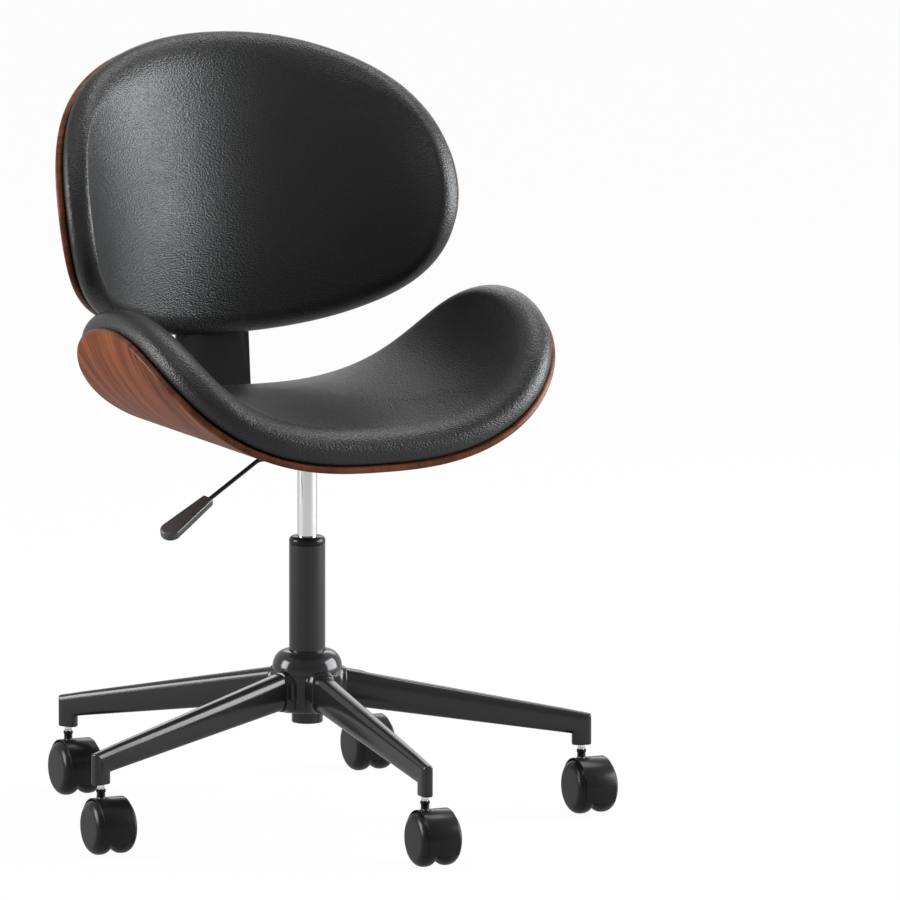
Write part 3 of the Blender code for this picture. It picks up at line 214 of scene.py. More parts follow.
def place_camera():
    """The photograph's long lens, three-quarter front from the sitter's right."""
    azimuth, pitch = CAMERA_AZIMUTH, CAMERA_PITCH
    back = Vector((math.sin(azimuth) * math.cos(pitch), -math.cos(azimuth) * math.cos(pitch),
                   math.sin(pitch)))
    right = Vector((math.cos(azimuth), math.sin(azimuth), 0.0))
    up = back.cross(right)
    data = bpy.data.cameras.new("camera")
    data.sensor_width = 36.0
    data.lens = CAMERA_LENS
    data.clip_start = 0.5
    data.clip_end = 200.0
    camera = bpy.data.objects.new("camera", data)
    bpy.context.scene.collection.objects.link(camera)
    turn = Matrix.Rotation(CAMERA_TURN, 3, up)
    basis = Matrix((turn @ right, up, turn @ back)).transposed().to_4x4()
    spot = COLUMN + back * CAMERA_DISTANCE + up * CAMERA_RISE
    camera.matrix_world = Matrix.Translation(spot) @ basis
    bpy.context.scene.camera = camera


def softbox(name, azimuth, elevation, distance, size, radiance, tint):
    """A rectangular lamp that looks at the chair."""
    data = bpy.data.lights.new(name, 'AREA')
    data.shape = 'RECTANGLE'
    data.size, data.size_y = size
    data.energy = radiance * math.pi * size[0] * size[1]
    data.color = tint
    lamp = bpy.data.objects.new(name, data)
    bpy.context.scene.collection.objects.link(lamp)
    side = CAMERA_AZIMUTH + math.radians(azimuth)
    level = math.radians(elevation)
    aim = Vector((math.sin(side) * math.cos(level), -math.cos(side) * math.cos(level),
                  math.sin(level)))
    lamp.location = LAMP_AIM + aim * distance
    lamp.rotation_mode = 'QUATERNION'
    lamp.rotation_quaternion = aim.to_track_quat('Z', 'Y')
    lamp.visible_camera = False


def light_studio():
    """Soft boxes in a pale room that is dimmer on the camera's side."""
    for lamp in LAMPS:
        softbox(*lamp)
    world = bpy.data.worlds.new("studio")
    bpy.context.scene.world = world
    world.use_nodes = True
    nodes, links = world.node_tree.nodes, world.node_tree.links
    nodes.clear()
    out = nodes.new("ShaderNodeOutputWorld")
    coordinate = nodes.new("ShaderNodeTexCoord")
    facing = nodes.new("ShaderNodeVectorMath")
    facing.operation = 'DOT_PRODUCT'
    facing.inputs[1].default_value = (math.sin(CAMERA_AZIMUTH), -math.cos(CAMERA_AZIMUTH), 0.0)
    links.new(coordinate.outputs["Generated"], facing.inputs[0])

    ramp = nodes.new("ShaderNodeMapRange")
    ramp.interpolation_type = 'SMOOTHSTEP'
    ramp.inputs["From Min"].default_value = ROOM_TURN[0]
    ramp.inputs["From Max"].default_value = ROOM_TURN[1]
    ramp.inputs["To Min"].default_value = ROOM_REAR
    ramp.inputs["To Max"].default_value = ROOM_FRONT
    links.new(facing.outputs["Value"], ramp.inputs["Value"])
    room = nodes.new("ShaderNodeBackground")
    links.new(ramp.outputs["Result"], room.inputs["Color"])
    white = nodes.new("ShaderNodeBackground")
    white.inputs["Color"].default_value = (1.0, 1.0, 1.0, 1.0)
    white.inputs["Strength"].default_value = ROOM_WHITE
    mix = nodes.new("ShaderNodeMixShader")
    links.new(share_of_white(nodes, links, *ROOM_SHARE), mix.inputs["Fac"])
    links.new(room.outputs[0], mix.inputs[1])
    links.new(white.outputs[0], mix.inputs[2])
    links.new(mix.outputs[0], out.inputs["Surface"])


def share_of_white(nodes, links, direct, mirrored):
    """How much of the white background the camera sees, and how much metal and glass show."""
    path = nodes.new("ShaderNodeLightPath")
    other = nodes.new("ShaderNodeMath")
    other.operation = 'MAXIMUM'
    links.new(path.outputs["Is Glossy Ray"], other.inputs[0])
    links.new(path.outputs["Is Transmission Ray"], other.inputs[1])
    part = nodes.new("ShaderNodeMath")
    part.operation = 'MULTIPLY'
    part.inputs[1].default_value = mirrored
    links.new(other.outputs[0], part.inputs[0])
    both = nodes.new("ShaderNodeMath")
    both.operation = 'MULTIPLY_ADD'
    both.inputs[1].default_value = direct
    links.new(path.outputs["Is Camera Ray"], both.inputs[0])
    links.new(part.outputs[0], both.inputs[2])
    return both.outputs[0]


def lay_floor():
    """A white floor that keeps a faint shadow."""
    bpy.ops.object.select_all(action='DESELECT')
    bpy.ops.mesh.primitive_plane_add(size=80.0, location=(0.0, 0.0, 0.0))
    floor = bpy.context.object
    floor.name = "floor"
    material = bpy.data.materials.new("floor_white")
    material.use_nodes = True
    nodes, links = material.node_tree.nodes, material.node_tree.links
    nodes.clear()
    out = nodes.new("ShaderNodeOutputMaterial")
    dull = nodes.new("ShaderNodeBsdfDiffuse")
    dull.inputs["Color"].default_value = (FLOOR_DULL, FLOOR_DULL, FLOOR_DULL, 1.0)
    glow = nodes.new("ShaderNodeEmission")
    glow.inputs["Color"].default_value = (1.0, 1.0, 1.0, 1.0)
    glow.inputs["Strength"].default_value = FLOOR_WHITE
    mix = nodes.new("ShaderNodeMixShader")
    links.new(share_of_white(nodes, links, *FLOOR_SHARE), mix.inputs["Fac"])
    links.new(dull.outputs[0], mix.inputs[1])
    links.new(glow.outputs[0], mix.inputs[2])
    links.new(mix.outputs[0], out.inputs["Surface"])
    floor.data.materials.append(material)


# Materials

def new_material(name, color, roughness, metallic=0.0, specular=0.5):
    """A Principled material and its shader."""
    material = bpy.data.materials.new(name)
    material.use_nodes = True
    shader = material.node_tree.nodes["Principled BSDF"]
    shader.inputs["Base Color"].default_value = (*color, 1.0)
    shader.inputs["Roughness"].default_value = roughness
    shader.inputs["Metallic"].default_value = metallic
    shader.inputs["Specular IOR Level"].default_value = specular
    return material, shader


def noise(tree, vector, scale, detail=2.0, roughness=0.5):
    """A noise texture on a vector."""
    node = tree.nodes.new("ShaderNodeTexNoise")
    node.inputs["Scale"].default_value = scale
    node.inputs["Detail"].default_value = detail
    node.inputs["Roughness"].default_value = roughness
    tree.links.new(vector, node.inputs["Vector"])
    return node


def spread(tree, value, low, high):
    """Map a 0 to 1 value to a range."""
    node = tree.nodes.new("ShaderNodeMapRange")
    node.inputs["To Min"].default_value = low
    node.inputs["To Max"].default_value = high
    tree.links.new(value, node.inputs["Value"])
    return node.outputs["Result"]


def stretched(tree, vector, along, across):
    """A sheet's coordinates with their own scales along and across."""
    node = tree.nodes.new("ShaderNodeMapping")
    node.inputs["Scale"].default_value = (along, across, 1.0)
    tree.links.new(vector, node.inputs["Vector"])
    return node.outputs["Vector"]


def color_ramp(tree, value, stops):
    """Colors for a 0 to 1 value, from (position, color) stops."""
    node = tree.nodes.new("ShaderNodeValToRGB")
    elements = node.color_ramp.elements
    elements[0].position, elements[0].color = stops[0][0], (*stops[0][1], 1.0)
    elements[1].position, elements[1].color = stops[-1][0], (*stops[-1][1], 1.0)
    for position, color in stops[1:-1]:
        elements.new(position).color = (*color, 1.0)
    tree.links.new(value, node.inputs["Fac"])
    return node.outputs["Color"]


def multiplied(tree, amount, first, second):
    """One color multiplied by another, by a fixed share or one from a socket."""
    node = tree.nodes.new("ShaderNodeMix")
    node.data_type = 'RGBA'
    node.blend_type = 'MULTIPLY'
    if isinstance(amount, float):
        node.inputs["Factor"].default_value = amount
    else:
        tree.links.new(amount, node.inputs["Factor"])
    tree.links.new(first, node.inputs["A"])
    tree.links.new(second, node.inputs["B"])
    return node.outputs["Result"]


def wandering(tree, vector, drift, reach):
    """Coordinates moved about by a noise, as far as the reach."""
    node = tree.nodes.new("ShaderNodeVectorMath")
    node.operation = 'MULTIPLY_ADD'
    node.inputs[1].default_value = reach
    tree.links.new(drift.outputs["Color"], node.inputs[0])
    tree.links.new(vector, node.inputs[2])
    return node.outputs["Vector"]


def relief(tree, shader, height, distance, strength=1.0, under=None):
    """A bump on the shader, laid over another one."""
    node = tree.nodes.new("ShaderNodeBump")
    node.inputs["Strength"].default_value = strength
    node.inputs["Distance"].default_value = distance
    tree.links.new(height, node.inputs["Height"])
    if under:
        tree.links.new(under.outputs["Normal"], node.inputs["Normal"])
    tree.links.new(node.outputs["Normal"], shader.inputs["Normal"])
    return node


def black_leather():
    """Pebbled black leather with a soft gloss."""
    material, shader = new_material("black_leather_grain", (0.010, 0.010, 0.010), 0.38)
    tree = material.node_tree
    place = tree.nodes.new("ShaderNodeTexCoord").outputs["Object"]
    tilt = tree.nodes.new("ShaderNodeMapping")
    tilt.inputs["Rotation"].default_value = PEBBLE_TILT
    tilt.inputs["Scale"].default_value = PEBBLE_SCALE
    offset = wandering(tree, place, noise(tree, place, 90.0, 2.0), PEBBLE_WANDER)
    tree.links.new(offset, tilt.inputs["Vector"])
    pebble = tree.nodes.new("ShaderNodeTexVoronoi")
    pebble.feature = 'SMOOTH_F1'
    pebble.inputs["Scale"].default_value = 1.0
    pebble.inputs["Smoothness"].default_value = 0.35
    tree.links.new(tilt.outputs["Vector"], pebble.inputs["Vector"])
    dome = spread(tree, pebble.outputs["Distance"], 1.0, 0.0)
    hide = noise(tree, place, 26.0, 2.0, 0.5)
    patch = noise(tree, place, 14.0, 3.0)
    tree.links.new(spread(tree, patch.outputs["Fac"], 0.32, 0.42), shader.inputs["Roughness"])
    first = relief(tree, shader, hide.outputs["Fac"], 0.0020, 0.15)
    relief(tree, shader, dome, 0.0006, 0.75, first)
    return material


def walnut_veneer(name, specular=0.04, tint=1.0, gloss=0.0):
    """Satin walnut, its figure drawn along the sheet's own width."""
    material, shader = new_material(name, (0.24, 0.078, 0.038), 0.34, specular=specular)
    tree = material.node_tree
    sheet = tree.nodes.new("ShaderNodeUVMap")
    sheet.uv_map = "Sheet"
    drift = noise(tree, sheet.outputs["UV"], 5.0, 2.0, 0.45)
    bend = wandering(tree, sheet.outputs["UV"], drift, (0.0, WALNUT_BEND, 0.0))
    wide = noise(tree, stretched(tree, bend, 2.4, 30.0), 1.0, 5.0, 0.62)
    fine = noise(tree, stretched(tree, bend, 7.0, 210.0), 1.0, 4.0, 0.62)
    pores = noise(tree, stretched(tree, bend, 55.0, 1500.0), 1.0, 3.0, 0.60)
    spots = noise(tree, stretched(tree, bend, 9.0, 60.0), 1.0, 3.0, 0.55)
    fade = noise(tree, stretched(tree, bend, 6.0, 16.0), 1.0, 2.0)
    seam = tree.nodes.new("ShaderNodeTexVoronoi")
    seam.voronoi_dimensions = '1D'
    seam.feature = 'DISTANCE_TO_EDGE'
    seam.inputs["Scale"].default_value = 62.0
    split = tree.nodes.new("ShaderNodeSeparateXYZ")
    tree.links.new(bend, split.inputs[0])
    tree.links.new(split.outputs["Y"], seam.inputs["W"])
    tones = [(place, [part * tint for part in color]) for place, color in WALNUT_TONES]
    ground = color_ramp(tree, wide.outputs["Fac"], tones)
    streaks = color_ramp(tree, fine.outputs["Fac"], [(0.34, (0.44, 0.38, 0.34)), (0.56, NEUTRAL)])
    patches = color_ramp(tree, spots.outputs["Fac"], [(0.60, NEUTRAL), (0.76, (0.34, 0.28, 0.26))])
    line = color_ramp(tree, seam.outputs["Distance"],
                      [(0.0, (0.30, 0.24, 0.22)), (0.075, NEUTRAL)])
    dots = color_ramp(tree, pores.outputs["Fac"], [(0.34, (0.42, 0.36, 0.34)), (0.50, NEUTRAL)])
    color = multiplied(tree, 0.75, ground, streaks)
    color = multiplied(tree, 0.80, color, patches)
    color = multiplied(tree, spread(tree, fade.outputs["Fac"], 0.0, 1.0), color, line)
    color = multiplied(tree, 0.45, color, dots)
    tree.links.new(color, shader.inputs["Base Color"])
    tree.links.new(spread(tree, fine.outputs["Fac"], 0.46 - gloss, 0.36 - gloss),
                   shader.inputs["Roughness"])
    first = relief(tree, shader, fine.outputs["Fac"], 0.0004, 0.35)
    relief(tree, shader, pores.outputs["Fac"], 0.0002, 0.30, first)
    return material


def powder_coat(name, color=(0.021, 0.021, 0.022), roughness=0.16, specular=0.50):
    """Smooth black coating, its gloss a little uneven from place to place."""
    material, shader = new_material(name, color, roughness, specular=specular)
    tree = material.node_tree
    place = tree.nodes.new("ShaderNodeTexCoord").outputs["Object"]
    patch = noise(tree, place, 9.0, 1.0)
    tree.links.new(spread(tree, patch.outputs["Fac"], roughness - 0.03, roughness + 0.03),
                   shader.inputs["Roughness"])
    return material


def polished_chrome():
    """Chrome plate with faint handling haze."""
    material, shader = new_material("polished_chrome", (0.90, 0.90, 0.90), 0.06, 1.0)
    tree = material.node_tree
    place = tree.nodes.new("ShaderNodeTexCoord").outputs["Object"]
    haze = noise(tree, place, 60.0, 3.0)
    tree.links.new(spread(tree, haze.outputs["Fac"], 0.04, 0.10), shader.inputs["Roughness"])
    return material


# Modelling helpers

def pick(piece):
    """Select the piece alone and make it the active one."""
    bpy.ops.object.select_all(action='DESELECT')
    piece.select_set(True)
    bpy.context.view_layer.objects.active = piece


def apply_modifiers(piece):
    """Apply all of the piece's modifiers in order."""
    pick(piece)
    for modifier in list(piece.modifiers):
        bpy.ops.object.modifier_apply(modifier=modifier.name)


def smooth(piece, angle=40.0):
    """Smooth shading, with edges sharper than the angle kept."""
    pick(piece)
    bpy.ops.object.shade_smooth_by_angle(angle=math.radians(angle))


def put(piece, location=(0.0, 0.0, 0.0), rotation=(0.0, 0.0, 0.0)):
    """Turn and move a piece, then set that into its mesh."""
    pick(piece)
    piece.rotation_euler = rotation
    piece.location = location
    bpy.ops.object.transform_apply(location=True, rotation=True, scale=True)
    return piece


def copy_of(piece, name):
    """A copy with its own mesh."""
    twin = piece.copy()
    twin.data = piece.data.copy()
    twin.name = name
    twin.data.name = name
    bpy.context.scene.collection.objects.link(twin)
    return twin


def joined(first, *others):
    """One piece made of several."""
    bpy.ops.object.select_all(action='DESELECT')
    for piece in (first, *others):
        piece.select_set(True)
    bpy.context.view_layer.objects.active = first
    bpy.ops.object.join()
    return first


def stands_for(piece, node, body, material=None):
    """The piece takes a CAD node's place on its body."""
    if material:
        piece.data.materials.clear()
        piece.data.materials.append(material)
    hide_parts(node)
    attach(piece, body)


def quarter(centre, radius, start, end, count):
    """Stations of an arc in a turned piece's outline, angles in degrees from outward."""
    angles = [math.radians(start + (end - start) * index / count) for index in range(count + 1)]
    return [(centre[0] + radius * math.cos(a), centre[1] + radius * math.sin(a)) for a in angles]


def turned(name, stations, count=WHEEL_SIDES, hollow=False):
    """A round plane, extruded and scaled from one (radius, level) station to the next."""
    radius, level = stations[0]
    bpy.ops.object.select_all(action='DESELECT')
    bpy.ops.mesh.primitive_circle_add(vertices=count, radius=radius, fill_type='NGON',
                                      location=(0.0, 0.0, level))
    piece = bpy.context.object
    piece.name = name
    piece.data.name = name
    bpy.ops.object.mode_set(mode='EDIT')
    bpy.ops.mesh.select_all(action='SELECT')
    for (near, low), (far, high) in zip(stations, stations[1:]):
        bpy.ops.mesh.extrude_region_move(TRANSFORM_OT_translate={"value": (0.0, 0.0, high - low)})
        if abs(far - near) > 1e-7:
            bpy.ops.transform.resize(value=(far / near, far / near, 1.0))
    if hollow:
        bm = bmesh.from_edit_mesh(piece.data)
        for face in bm.faces:
            face.select_set(len(face.verts) == count)
        bpy.ops.mesh.delete(type='ONLY_FACE')
        bpy.ops.mesh.select_all(action='DESELECT')
        bpy.ops.mesh.select_non_manifold()
        bpy.ops.mesh.bridge_edge_loops()
    bpy.ops.mesh.select_all(action='SELECT')
    bpy.ops.mesh.normals_make_consistent(inside=False)
    bpy.ops.object.mode_set(mode='OBJECT')
    bpy.ops.object.transform_apply(location=True, rotation=True, scale=True)
    smooth(piece, 35.0)
    return piece


def swept(name, rings):
    """A round plane, extruded from ring to ring; each ring is a list of places."""
    bpy.ops.object.select_all(action='DESELECT')
    bpy.ops.mesh.primitive_circle_add(vertices=len(rings[0]), fill_type='NGON')
    piece = bpy.context.object
    piece.name = name
    piece.data.name = name
    bpy.ops.object.mode_set(mode='EDIT')
    bpy.ops.mesh.select_all(action='SELECT')
    for number, ring in enumerate(rings):
        if number:
            bpy.ops.mesh.extrude_region_move()
        bm = bmesh.from_edit_mesh(piece.data)
        face = next(face for face in bm.faces if face.select)
        for vert, spot in zip(face.verts, ring):
            vert.co = spot
        bmesh.update_edit_mesh(piece.data)
    bpy.ops.mesh.select_all(action='SELECT')
    bpy.ops.mesh.normals_make_consistent(inside=False)
    bpy.ops.object.mode_set(mode='OBJECT')
    smooth(piece, 35.0)
    return piece


def fine_copy(node, body, material, bevel=0.0, sharp=35.0):
    """A copy of a CAD node, merged, its edges broken if asked and its round faces smooth."""
    source = frame["nodes"][node]
    piece = source.copy()
    piece.data = source.data.copy()
    piece.name = f"{node}_fine"
    piece.data.name = piece.name
    place = source.matrix_world.copy()
    piece.parent = None
    piece.matrix_world = place
    bpy.context.scene.collection.objects.link(piece)
    pick(piece)
    bpy.ops.object.transform_apply(location=True, rotation=True, scale=True)
    bpy.ops.object.mode_set(mode='EDIT')
    bpy.ops.mesh.select_all(action='SELECT')
    bpy.ops.mesh.remove_doubles(threshold=MERGE_DISTANCE)
    bpy.ops.mesh.dissolve_limited(angle_limit=FLAT_ANGLE)
    bpy.ops.mesh.normals_make_consistent(inside=False)
    bpy.ops.object.mode_set(mode='OBJECT')
    if bevel:
        edge = piece.modifiers.new("broken_edges", 'BEVEL')
        edge.width = bevel
        edge.segments = 3
        edge.limit_method = 'ANGLE'
        edge.angle_limit = CORNER_ANGLE
        apply_modifiers(piece)
    smooth(piece, sharp)
    stands_for(piece, node, body, material)
    return piece


# Star base

def arm_section(outer, inner, width, grow=0.0, count=48):
    """A rounded section between an outer and an inner point of the arm's side view."""
    outer, inner = Vector(outer), Vector(inner)
    middle = (outer + inner) / 2
    half = (outer - inner) / 2
    half = half * (1.0 + grow / half.length)
    ring = []
    for index in range(count):
        angle = math.tau * (index + 0.5) / count
        cosine, sine = math.cos(angle), math.sin(angle)
        up = math.copysign(abs(cosine) ** (2 / ARM_SECTION_POWER), cosine)
        side = math.copysign(abs(sine) ** (2 / ARM_SECTION_POWER), sine)
        spot = middle + half * up
        ring.append((spot.x, (width / 2 + grow) * side, spot.y))
    return ring


def arm_station(radius, grow=0.0):
    """An upright section of the arm at a distance from the column."""
    tip, heel = LEG_REACH + FOOT_LENGTH / 2, LEG_REACH - FOOT_LENGTH / 2
    share = (tip - radius) / (tip - HUB_RADIUS)
    top = HEEL_Z + ARM_TIP_HEIGHT + (tip - radius) * ARM_TOP_SLOPE
    under = HEEL_Z + (heel - radius) * ARM_UNDER_SLOPE
    width = FOOT_WIDTH + (ARM_ROOT_WIDTH - FOOT_WIDTH) * share
    return arm_section((radius, top), (radius, under), width, grow)


def arm_piece():
    """Tapered arm that turns down into the foot at a mitre."""
    tip, heel = LEG_REACH + FOOT_LENGTH / 2, LEG_REACH - FOOT_LENGTH / 2
    top = HEEL_Z + ARM_TIP_HEIGHT
    rings = [arm_station(ARM_ROOT_RADIUS)]
    for share in (0.10, 0.30, 0.50, 0.70, 0.90, 0.96):
        rings.append(arm_station(ARM_ROOT_RADIUS + (heel - ARM_ROOT_RADIUS) * share))
    ease, fillet = 0.0020, 0.0012
    for index in range(6):
        angle = math.pi / 2 * index / 5
        sine, cosine = math.sin(angle), math.cos(angle)
        rings.append(arm_section((tip - ease + ease * sine, top - ease + ease * cosine),
                                 (heel - fillet + fillet * sine, HEEL_Z - fillet + fillet * cosine),
                                 FOOT_WIDTH))
    round_off = 0.0016
    for index in range(5):
        angle = math.pi / 2 * index / 4
        level = FOOT_BOTTOM_Z + round_off * (1.0 - math.sin(angle))
        rings.append(arm_section((tip, level), (heel, level), FOOT_WIDTH,
                                 grow=-round_off * (1.0 - math.cos(angle))))
    return swept("arm", rings)


def leg_yaw(index):
    """Direction of a leg; the first one points forward."""
    return math.radians(270.0) + math.tau * index / LEG_COUNT


def hub_piece():
    """Domed hub with its stub and a lip round each arm."""
    radius = HUB_RADIUS - 0.0002
    span, rise = radius - TUBE_RADIUS - 0.0008, HUB_TOP_Z - HUB_SHOULDER_Z
    stations = [(SHANK_RADIUS + 0.0003, HUB_TOP_Z - 0.0040),
                (TUBE_RADIUS + 0.0003, HUB_TOP_Z - 0.0040),
                (TUBE_RADIUS + 0.0003, HUB_TOP_Z - 0.0004), (TUBE_RADIUS + 0.0008, HUB_TOP_Z)]
    for index in range(1, 21):
        angle = math.pi / 2 * (1.0 - index / 20)
        stations.append((radius - span + span * math.cos(angle) ** 0.85,
                         HUB_SHOULDER_Z + rise * math.sin(angle) ** 0.85))
    stations += [(radius, HUB_SHOULDER_Z - 0.0010),
                 (radius - HUB_SEAM, HUB_SHOULDER_Z - 0.0013),
                 (radius - HUB_SEAM, HUB_SHOULDER_Z - 0.0021),
                 (radius - 0.0002, HUB_SHOULDER_Z - 0.0024),
                 (radius - 0.0012, HUB_SHOULDER_Z - 0.0080),
                 (HUB_BODY_RADIUS, HUB_SHOULDER_Z - 0.0140)]
    stations += quarter((HUB_BODY_RADIUS - HUB_BOTTOM_ROUND, HUB_BOTTOM_Z + HUB_BOTTOM_ROUND),
                        HUB_BOTTOM_ROUND, 0.0, -90.0, 8)
    stations += quarter((STUB_RADIUS + 0.0010, HUB_BOTTOM_Z - 0.0010), 0.0010, 90.0, 180.0, 3)
    stations += quarter((STUB_RADIUS - 0.0012, STUB_Z + 0.0012), 0.0012, 0.0, -90.0, 4)
    stations += [(SHANK_RADIUS + 0.0003, STUB_Z)]
    hub = turned("hub", stations, ROUND_SIDES, hollow=True)
    mouths = []
    reach, lip = HUB_MOUTH_REACH, HUB_MOUTH_LIP
    mouth = swept("mouth", [
        arm_station(ARM_ROOT_RADIUS, lip + HUB_MOUTH_HIDDEN),
        arm_station(HUB_BODY_RADIUS - 0.0025, lip + HUB_MOUTH_HIDDEN),
        arm_station(HUB_BODY_RADIUS - 0.0005, lip + 0.0016),
        arm_station(HUB_BODY_RADIUS + 0.0012, lip + 0.0006),
        arm_station(HUB_RADIUS, lip + 0.0001), arm_station(reach - 0.0012, lip),
        arm_station(reach - 0.0004, lip - 0.0004), arm_station(reach, lip - 0.0012)])
    for index in range(LEG_COUNT):
        twin = copy_of(mouth, f"mouth_{index + 1}")
        mouths.append(put(twin, rotation=(0.0, 0.0, leg_yaw(index))))
    bpy.data.objects.remove(mouth)
    hub = joined(hub, *mouths)
    return put(hub, COLUMN)


def dress_base(paint):
    """Hub and arms."""
    stands_for(hub_piece(), "base_hub", "base", paint)
    arm = arm_piece()
    for index in range(LEG_COUNT):
        piece = copy_of(arm, f"arm_{index + 1}")
        put(piece, COLUMN, (0.0, 0.0, leg_yaw(index)))
        stands_for(piece, f"leg_{index + 1}", "base", paint)
    bpy.data.objects.remove(arm)


# Column

def dress_column(paint, plastic, chrome):
    """Outer tube, guide cap and gas cylinder."""
    shank_z, shank_bore = STUB_Z + 0.0036, SHANK_RADIUS - 0.0020
    tube = turned("outer_tube", [
        (SHANK_RADIUS, shank_z), (SHANK_RADIUS, TUBE_FOOT_Z),
        (TUBE_RADIUS - 0.0008, TUBE_FOOT_Z), (TUBE_RADIUS, TUBE_FOOT_Z + 0.0008),
        (TUBE_RADIUS, TUBE_TOP_Z - 0.0006), (TUBE_RADIUS - 0.0006, TUBE_TOP_Z),
        (TUBE_BORE, TUBE_TOP_Z), (TUBE_BORE, TUBE_FOOT_Z + 0.0030),
        (shank_bore, TUBE_FOOT_Z), (shank_bore, shank_z)], ROUND_SIDES, hollow=True)
    stands_for(put(tube, COLUMN), "column_tube", "base", paint)
    guide = CYLINDER_RADIUS + SLIDE_GAP
    stations = [(guide, CAP_TOP_Z - 0.0006), (guide + 0.0006, CAP_TOP_Z)]
    stations += quarter((TUBE_RADIUS - CAP_ROUND, CAP_TOP_Z - CAP_ROUND), CAP_ROUND, 90.0, 0.0, 8)
    stations += quarter((TUBE_RADIUS - 0.0006, CAP_LOW_Z + 0.0006), 0.0006, 0.0, -90.0, 3)
    stations += [(TUBE_BORE - 0.0003, CAP_LOW_Z), (TUBE_BORE - 0.0003, CAP_LOW_Z - CAP_SPIGOT),
                 (guide, CAP_LOW_Z - CAP_SPIGOT)]
    cap = turned("guide_cap", stations, ROUND_SIDES, hollow=True)
    stands_for(put(cap, COLUMN), "column_cap", "base", plastic)
    edge = 0.0007
    floor_z, roof_z = CYLINDER_LOW_Z + CYLINDER_END, CYLINDER_TOP_Z - CYLINDER_END
    cylinder = turned("lift_cylinder", [
        (PIN_HOLE_RADIUS, CYLINDER_TOP_Z), (CYLINDER_RADIUS - edge, CYLINDER_TOP_Z),
        (CYLINDER_RADIUS, CYLINDER_TOP_Z - edge), (CYLINDER_RADIUS, CYLINDER_LOW_Z + edge),
        (CYLINDER_RADIUS - edge, CYLINDER_LOW_Z), (ROD_HOLE_RADIUS, CYLINDER_LOW_Z),
        (ROD_HOLE_RADIUS, floor_z), (CYLINDER_BORE, floor_z),
        (CYLINDER_BORE, roof_z), (PIN_HOLE_RADIUS, roof_z)], ROUND_SIDES, hollow=True)
    stands_for(put(cylinder, COLUMN), "gas_cylinder", "seat", chrome)


# Casters

def wheel_piece():
    """A wheel about the Z axis, its inner side at level 0."""
    stations = quarter((WHEEL_RADIUS - WHEEL_TREAD_ROUND, WHEEL_TREAD_ROUND), WHEEL_TREAD_ROUND,
                       -90.0, 0.0, 8)
    stations += quarter((WHEEL_RADIUS - WHEEL_FACE_ROUND, WHEEL_WIDTH - WHEEL_FACE_ROUND),
                        WHEEL_FACE_ROUND, 0.0, 90.0, 10)
    stations[-1] = (stations[-1][0], WHEEL_WIDTH - WHEEL_DISC_RISE)
    stations.append((WHEEL_DISC_RADIUS, WHEEL_WIDTH))
    return turned("wheel", stations)


def hood_piece():
    """Drum hood, its web between the wheels and the stem's boss, about the axle."""
    outside = HOOD_INSIDE + HOOD_WALL
    half, soft = HOOD_WIDTH / 2, HOOD_WALL / 2
    stations = [(HOOD_INSIDE, HOOD_WEB / 2), (HOOD_INSIDE, half - soft)]
    stations += quarter((outside - soft, half - soft), soft, 180.0, 0.0, 6)[1:]
    stations += quarter((outside - soft, soft - half), soft, 0.0, -180.0, 6)
    stations += [(HOOD_INSIDE, -HOOD_WEB / 2)]
    drum = turned("hood", stations)
    put(drum, rotation=(0.0, math.pi / 2, 0.0))
    bpy.ops.object.mode_set(mode='EDIT')
    bpy.ops.mesh.select_all(action='SELECT')
    bpy.ops.mesh.bisect(plane_co=(0.0, 0.0, HOOD_SKIRT_Z - WHEEL_RADIUS), plane_no=(0.0, 0.0, 1.0),
                        use_fill=True, clear_inner=True)
    bpy.ops.object.mode_set(mode='OBJECT')
    top = BOSS_TOP_Z - WHEEL_RADIUS
    crown = math.sqrt(outside ** 2 - CASTER_TRAIL ** 2)
    waist = BOSS_RADIUS - 0.0007
    boss = turned("boss", [
        (BOSS_RADIUS, 0.0120), (BOSS_RADIUS, crown - 0.0010), (BOSS_RADIUS + 0.0012, crown),
        (waist + 0.0004, crown + 0.0030), (waist, crown + 0.0060), (waist, top - 0.0040),
        (BOSS_RADIUS, top - 0.0032), (BOSS_RADIUS, top - 0.0006),
        (BOSS_RADIUS - 0.0006, top)], SMALL_SIDES)
    put(boss, (0.0, CASTER_TRAIL, 0.0))
    hood = joined(drum, boss)
    smooth(hood, 35.0)
    return hood


def stem_piece():
    """Polished stem between the boss and the foot, with its collar."""
    shaft = STEM_RADIUS - STEM_STEP
    return turned("stem", [
        (STEM_RADIUS - 0.0010, BOSS_TOP_Z - STEM_IN_HOOD),
        (STEM_RADIUS - 0.0010, BOSS_TOP_Z + 0.0004),
        (shaft, BOSS_TOP_Z + 0.0004), (STEM_RADIUS, BOSS_TOP_Z + 0.0007),
        (STEM_RADIUS, BOSS_TOP_Z + 0.0016), (shaft, BOSS_TOP_Z + 0.0019),
        (shaft, STEM_TOP_Z - 0.0010), (STEM_RADIUS - 0.0012, STEM_TOP_Z)], SMALL_SIDES)


